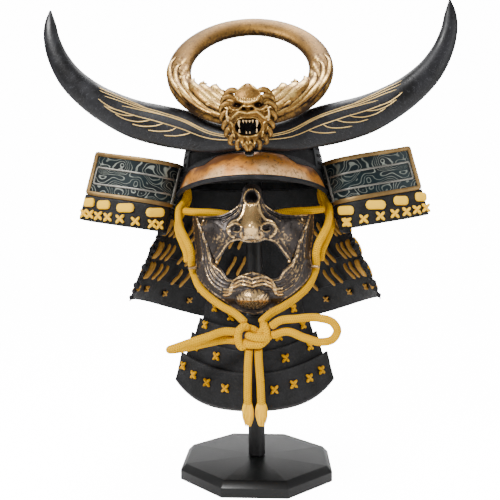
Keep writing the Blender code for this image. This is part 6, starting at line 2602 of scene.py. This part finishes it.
@dataclass
class Studio:
    """The camera, the pale floor and the lights."""

    camera_at: tuple[float, float, float] = (0.0285, -0.9866, 0.3676)
    tilt_deg: float = 87.96
    turn_deg: float = 2.28
    lens: float = 47.376
    grey: float = 0.93
    glow: float = 14.0
    ambient: float = 0.42
    backdrop: float = 16.0
    lamps: list[tuple] = field(default_factory=lambda: [
        ("key", (-0.9, -1.3, 1.5), 0.5, 56.0), ("fill", (1.4, -1.0, 0.7), 0.8, 12.0),
        ("top", (0.1, 0.2, 1.9), 0.8, 26.0), ("back", (0.0, 0.9, 1.9), 1.2, 20.0),
    ])

    def camera(self) -> None:
        """The photograph's camera."""
        made = bpy.data.cameras.new("camera")
        made.lens, made.sensor_width, made.clip_start = self.lens, 36.0, 0.01
        holder = bpy.data.objects.new("camera", made)
        holder.location = self.camera_at
        holder.rotation_euler = (math.radians(self.tilt_deg), 0.0, math.radians(self.turn_deg))
        bpy.context.scene.collection.objects.link(holder)
        bpy.context.scene.camera = holder

    def lamp(self, name: str, place: tuple[float, float, float], size: float, power: float) -> None:
        """A soft square light that faces the helmet.

        Args:
            name: Its name.
            place: Where it stands.
            size: Length of its side.
            power: Its power in watts.
        """
        made = bpy.data.lights.new(name, "AREA")
        made.shape, made.size, made.energy = "SQUARE", size, power
        holder = bpy.data.objects.new(name, made)
        holder.location = place
        aim = np.array([0.0, 0.0, 0.35]) - np.array(place)
        run = math.hypot(aim[0], aim[1])
        holder.rotation_euler = (math.atan2(run, -aim[2]), 0.0, math.atan2(aim[1], aim[0]) - math.pi / 2)
        bpy.context.scene.collection.objects.link(holder)

    def build(self) -> None:
        """Builds the floor, which curves up behind, the pale world and the lights."""
        reach = np.linspace(-3.0, 3.0, 3)
        profile = np.array([(-3.0, 0.0), (1.2, 0.0), (1.6, 0.05), (1.9, 0.2), (2.1, 0.5), (2.15, 3.0)])
        points = np.stack([np.column_stack([np.full(len(profile), x), profile]) for x in reach])
        mesh = bpy.data.meshes.new("floor")
        mesh.from_pydata(points.reshape(-1, 3).tolist(), [], grid_quads(3, len(profile)).tolist())
        mesh.shade_smooth()
        floor = bpy.data.objects.new("floor", mesh)
        bpy.context.scene.collection.objects.link(floor)
        floor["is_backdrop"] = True
        paint = bpy.data.materials.new("floor")
        paint.use_nodes = True
        shader = paint.node_tree.nodes["Principled BSDF"]
        shader.inputs["Base Color"].default_value = (self.grey, self.grey, self.grey, 1.0)
        shader.inputs["Roughness"].default_value = 0.9
        shader.inputs["Emission Color"].default_value = (self.glow, self.glow, self.glow, 1.0)
        seen = paint.node_tree.nodes.new("ShaderNodeLightPath").outputs["Is Camera Ray"]
        paint.node_tree.links.new(seen, shader.inputs["Emission Strength"])
        mesh.materials.append(paint)
        world = bpy.data.worlds.new("world")
        bpy.context.scene.world = world
        world.use_nodes = True
        back = world.node_tree.nodes["Background"]
        back.inputs["Color"].default_value = (1.0, 1.0, 1.0, 1.0)
        seen = world.node_tree.nodes.new("ShaderNodeLightPath").outputs["Is Camera Ray"]
        strength = maths(world.node_tree, "MULTIPLY_ADD", seen, self.backdrop - self.ambient, self.ambient)
        world.node_tree.links.new(strength, back.inputs["Strength"])
        for lamp in self.lamps:
            self.lamp(*lamp)


def corners() -> list[list[float]]:
    """The shown object's lowest and highest corners as plain lists."""
    return [[float(v) for v in corner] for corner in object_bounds()]


def main() -> None:
    """Builds every sub-assembly in order."""
    logging.basicConfig(level=logging.INFO, format="%(message)s")
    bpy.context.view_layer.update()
    for group in (grain_group, speckle_group, wear_and_light_group, braid_group):
        group()
    studio, bowl, guard = Studio(), Bowl(), NeckGuard()
    studio.camera()
    ChinCord().build()
    Stand().build()
    bowl.build()
    Peak().build(bowl)
    Rivet().build()
    Horns().build()
    CrestRing().build()
    DragonHead().build()
    guard.build()
    TurnedPlates(guard).build()
    Mask().build()
    ThroatGuard().build()
    for name in ("helmet_rest", "mask_arm"):
        node = bpy.data.objects[name]
        node.data.materials.clear()
        node.data.materials.append(POST_BLACK.material())
    studio.build()


if __name__ == "__main__":
    main()
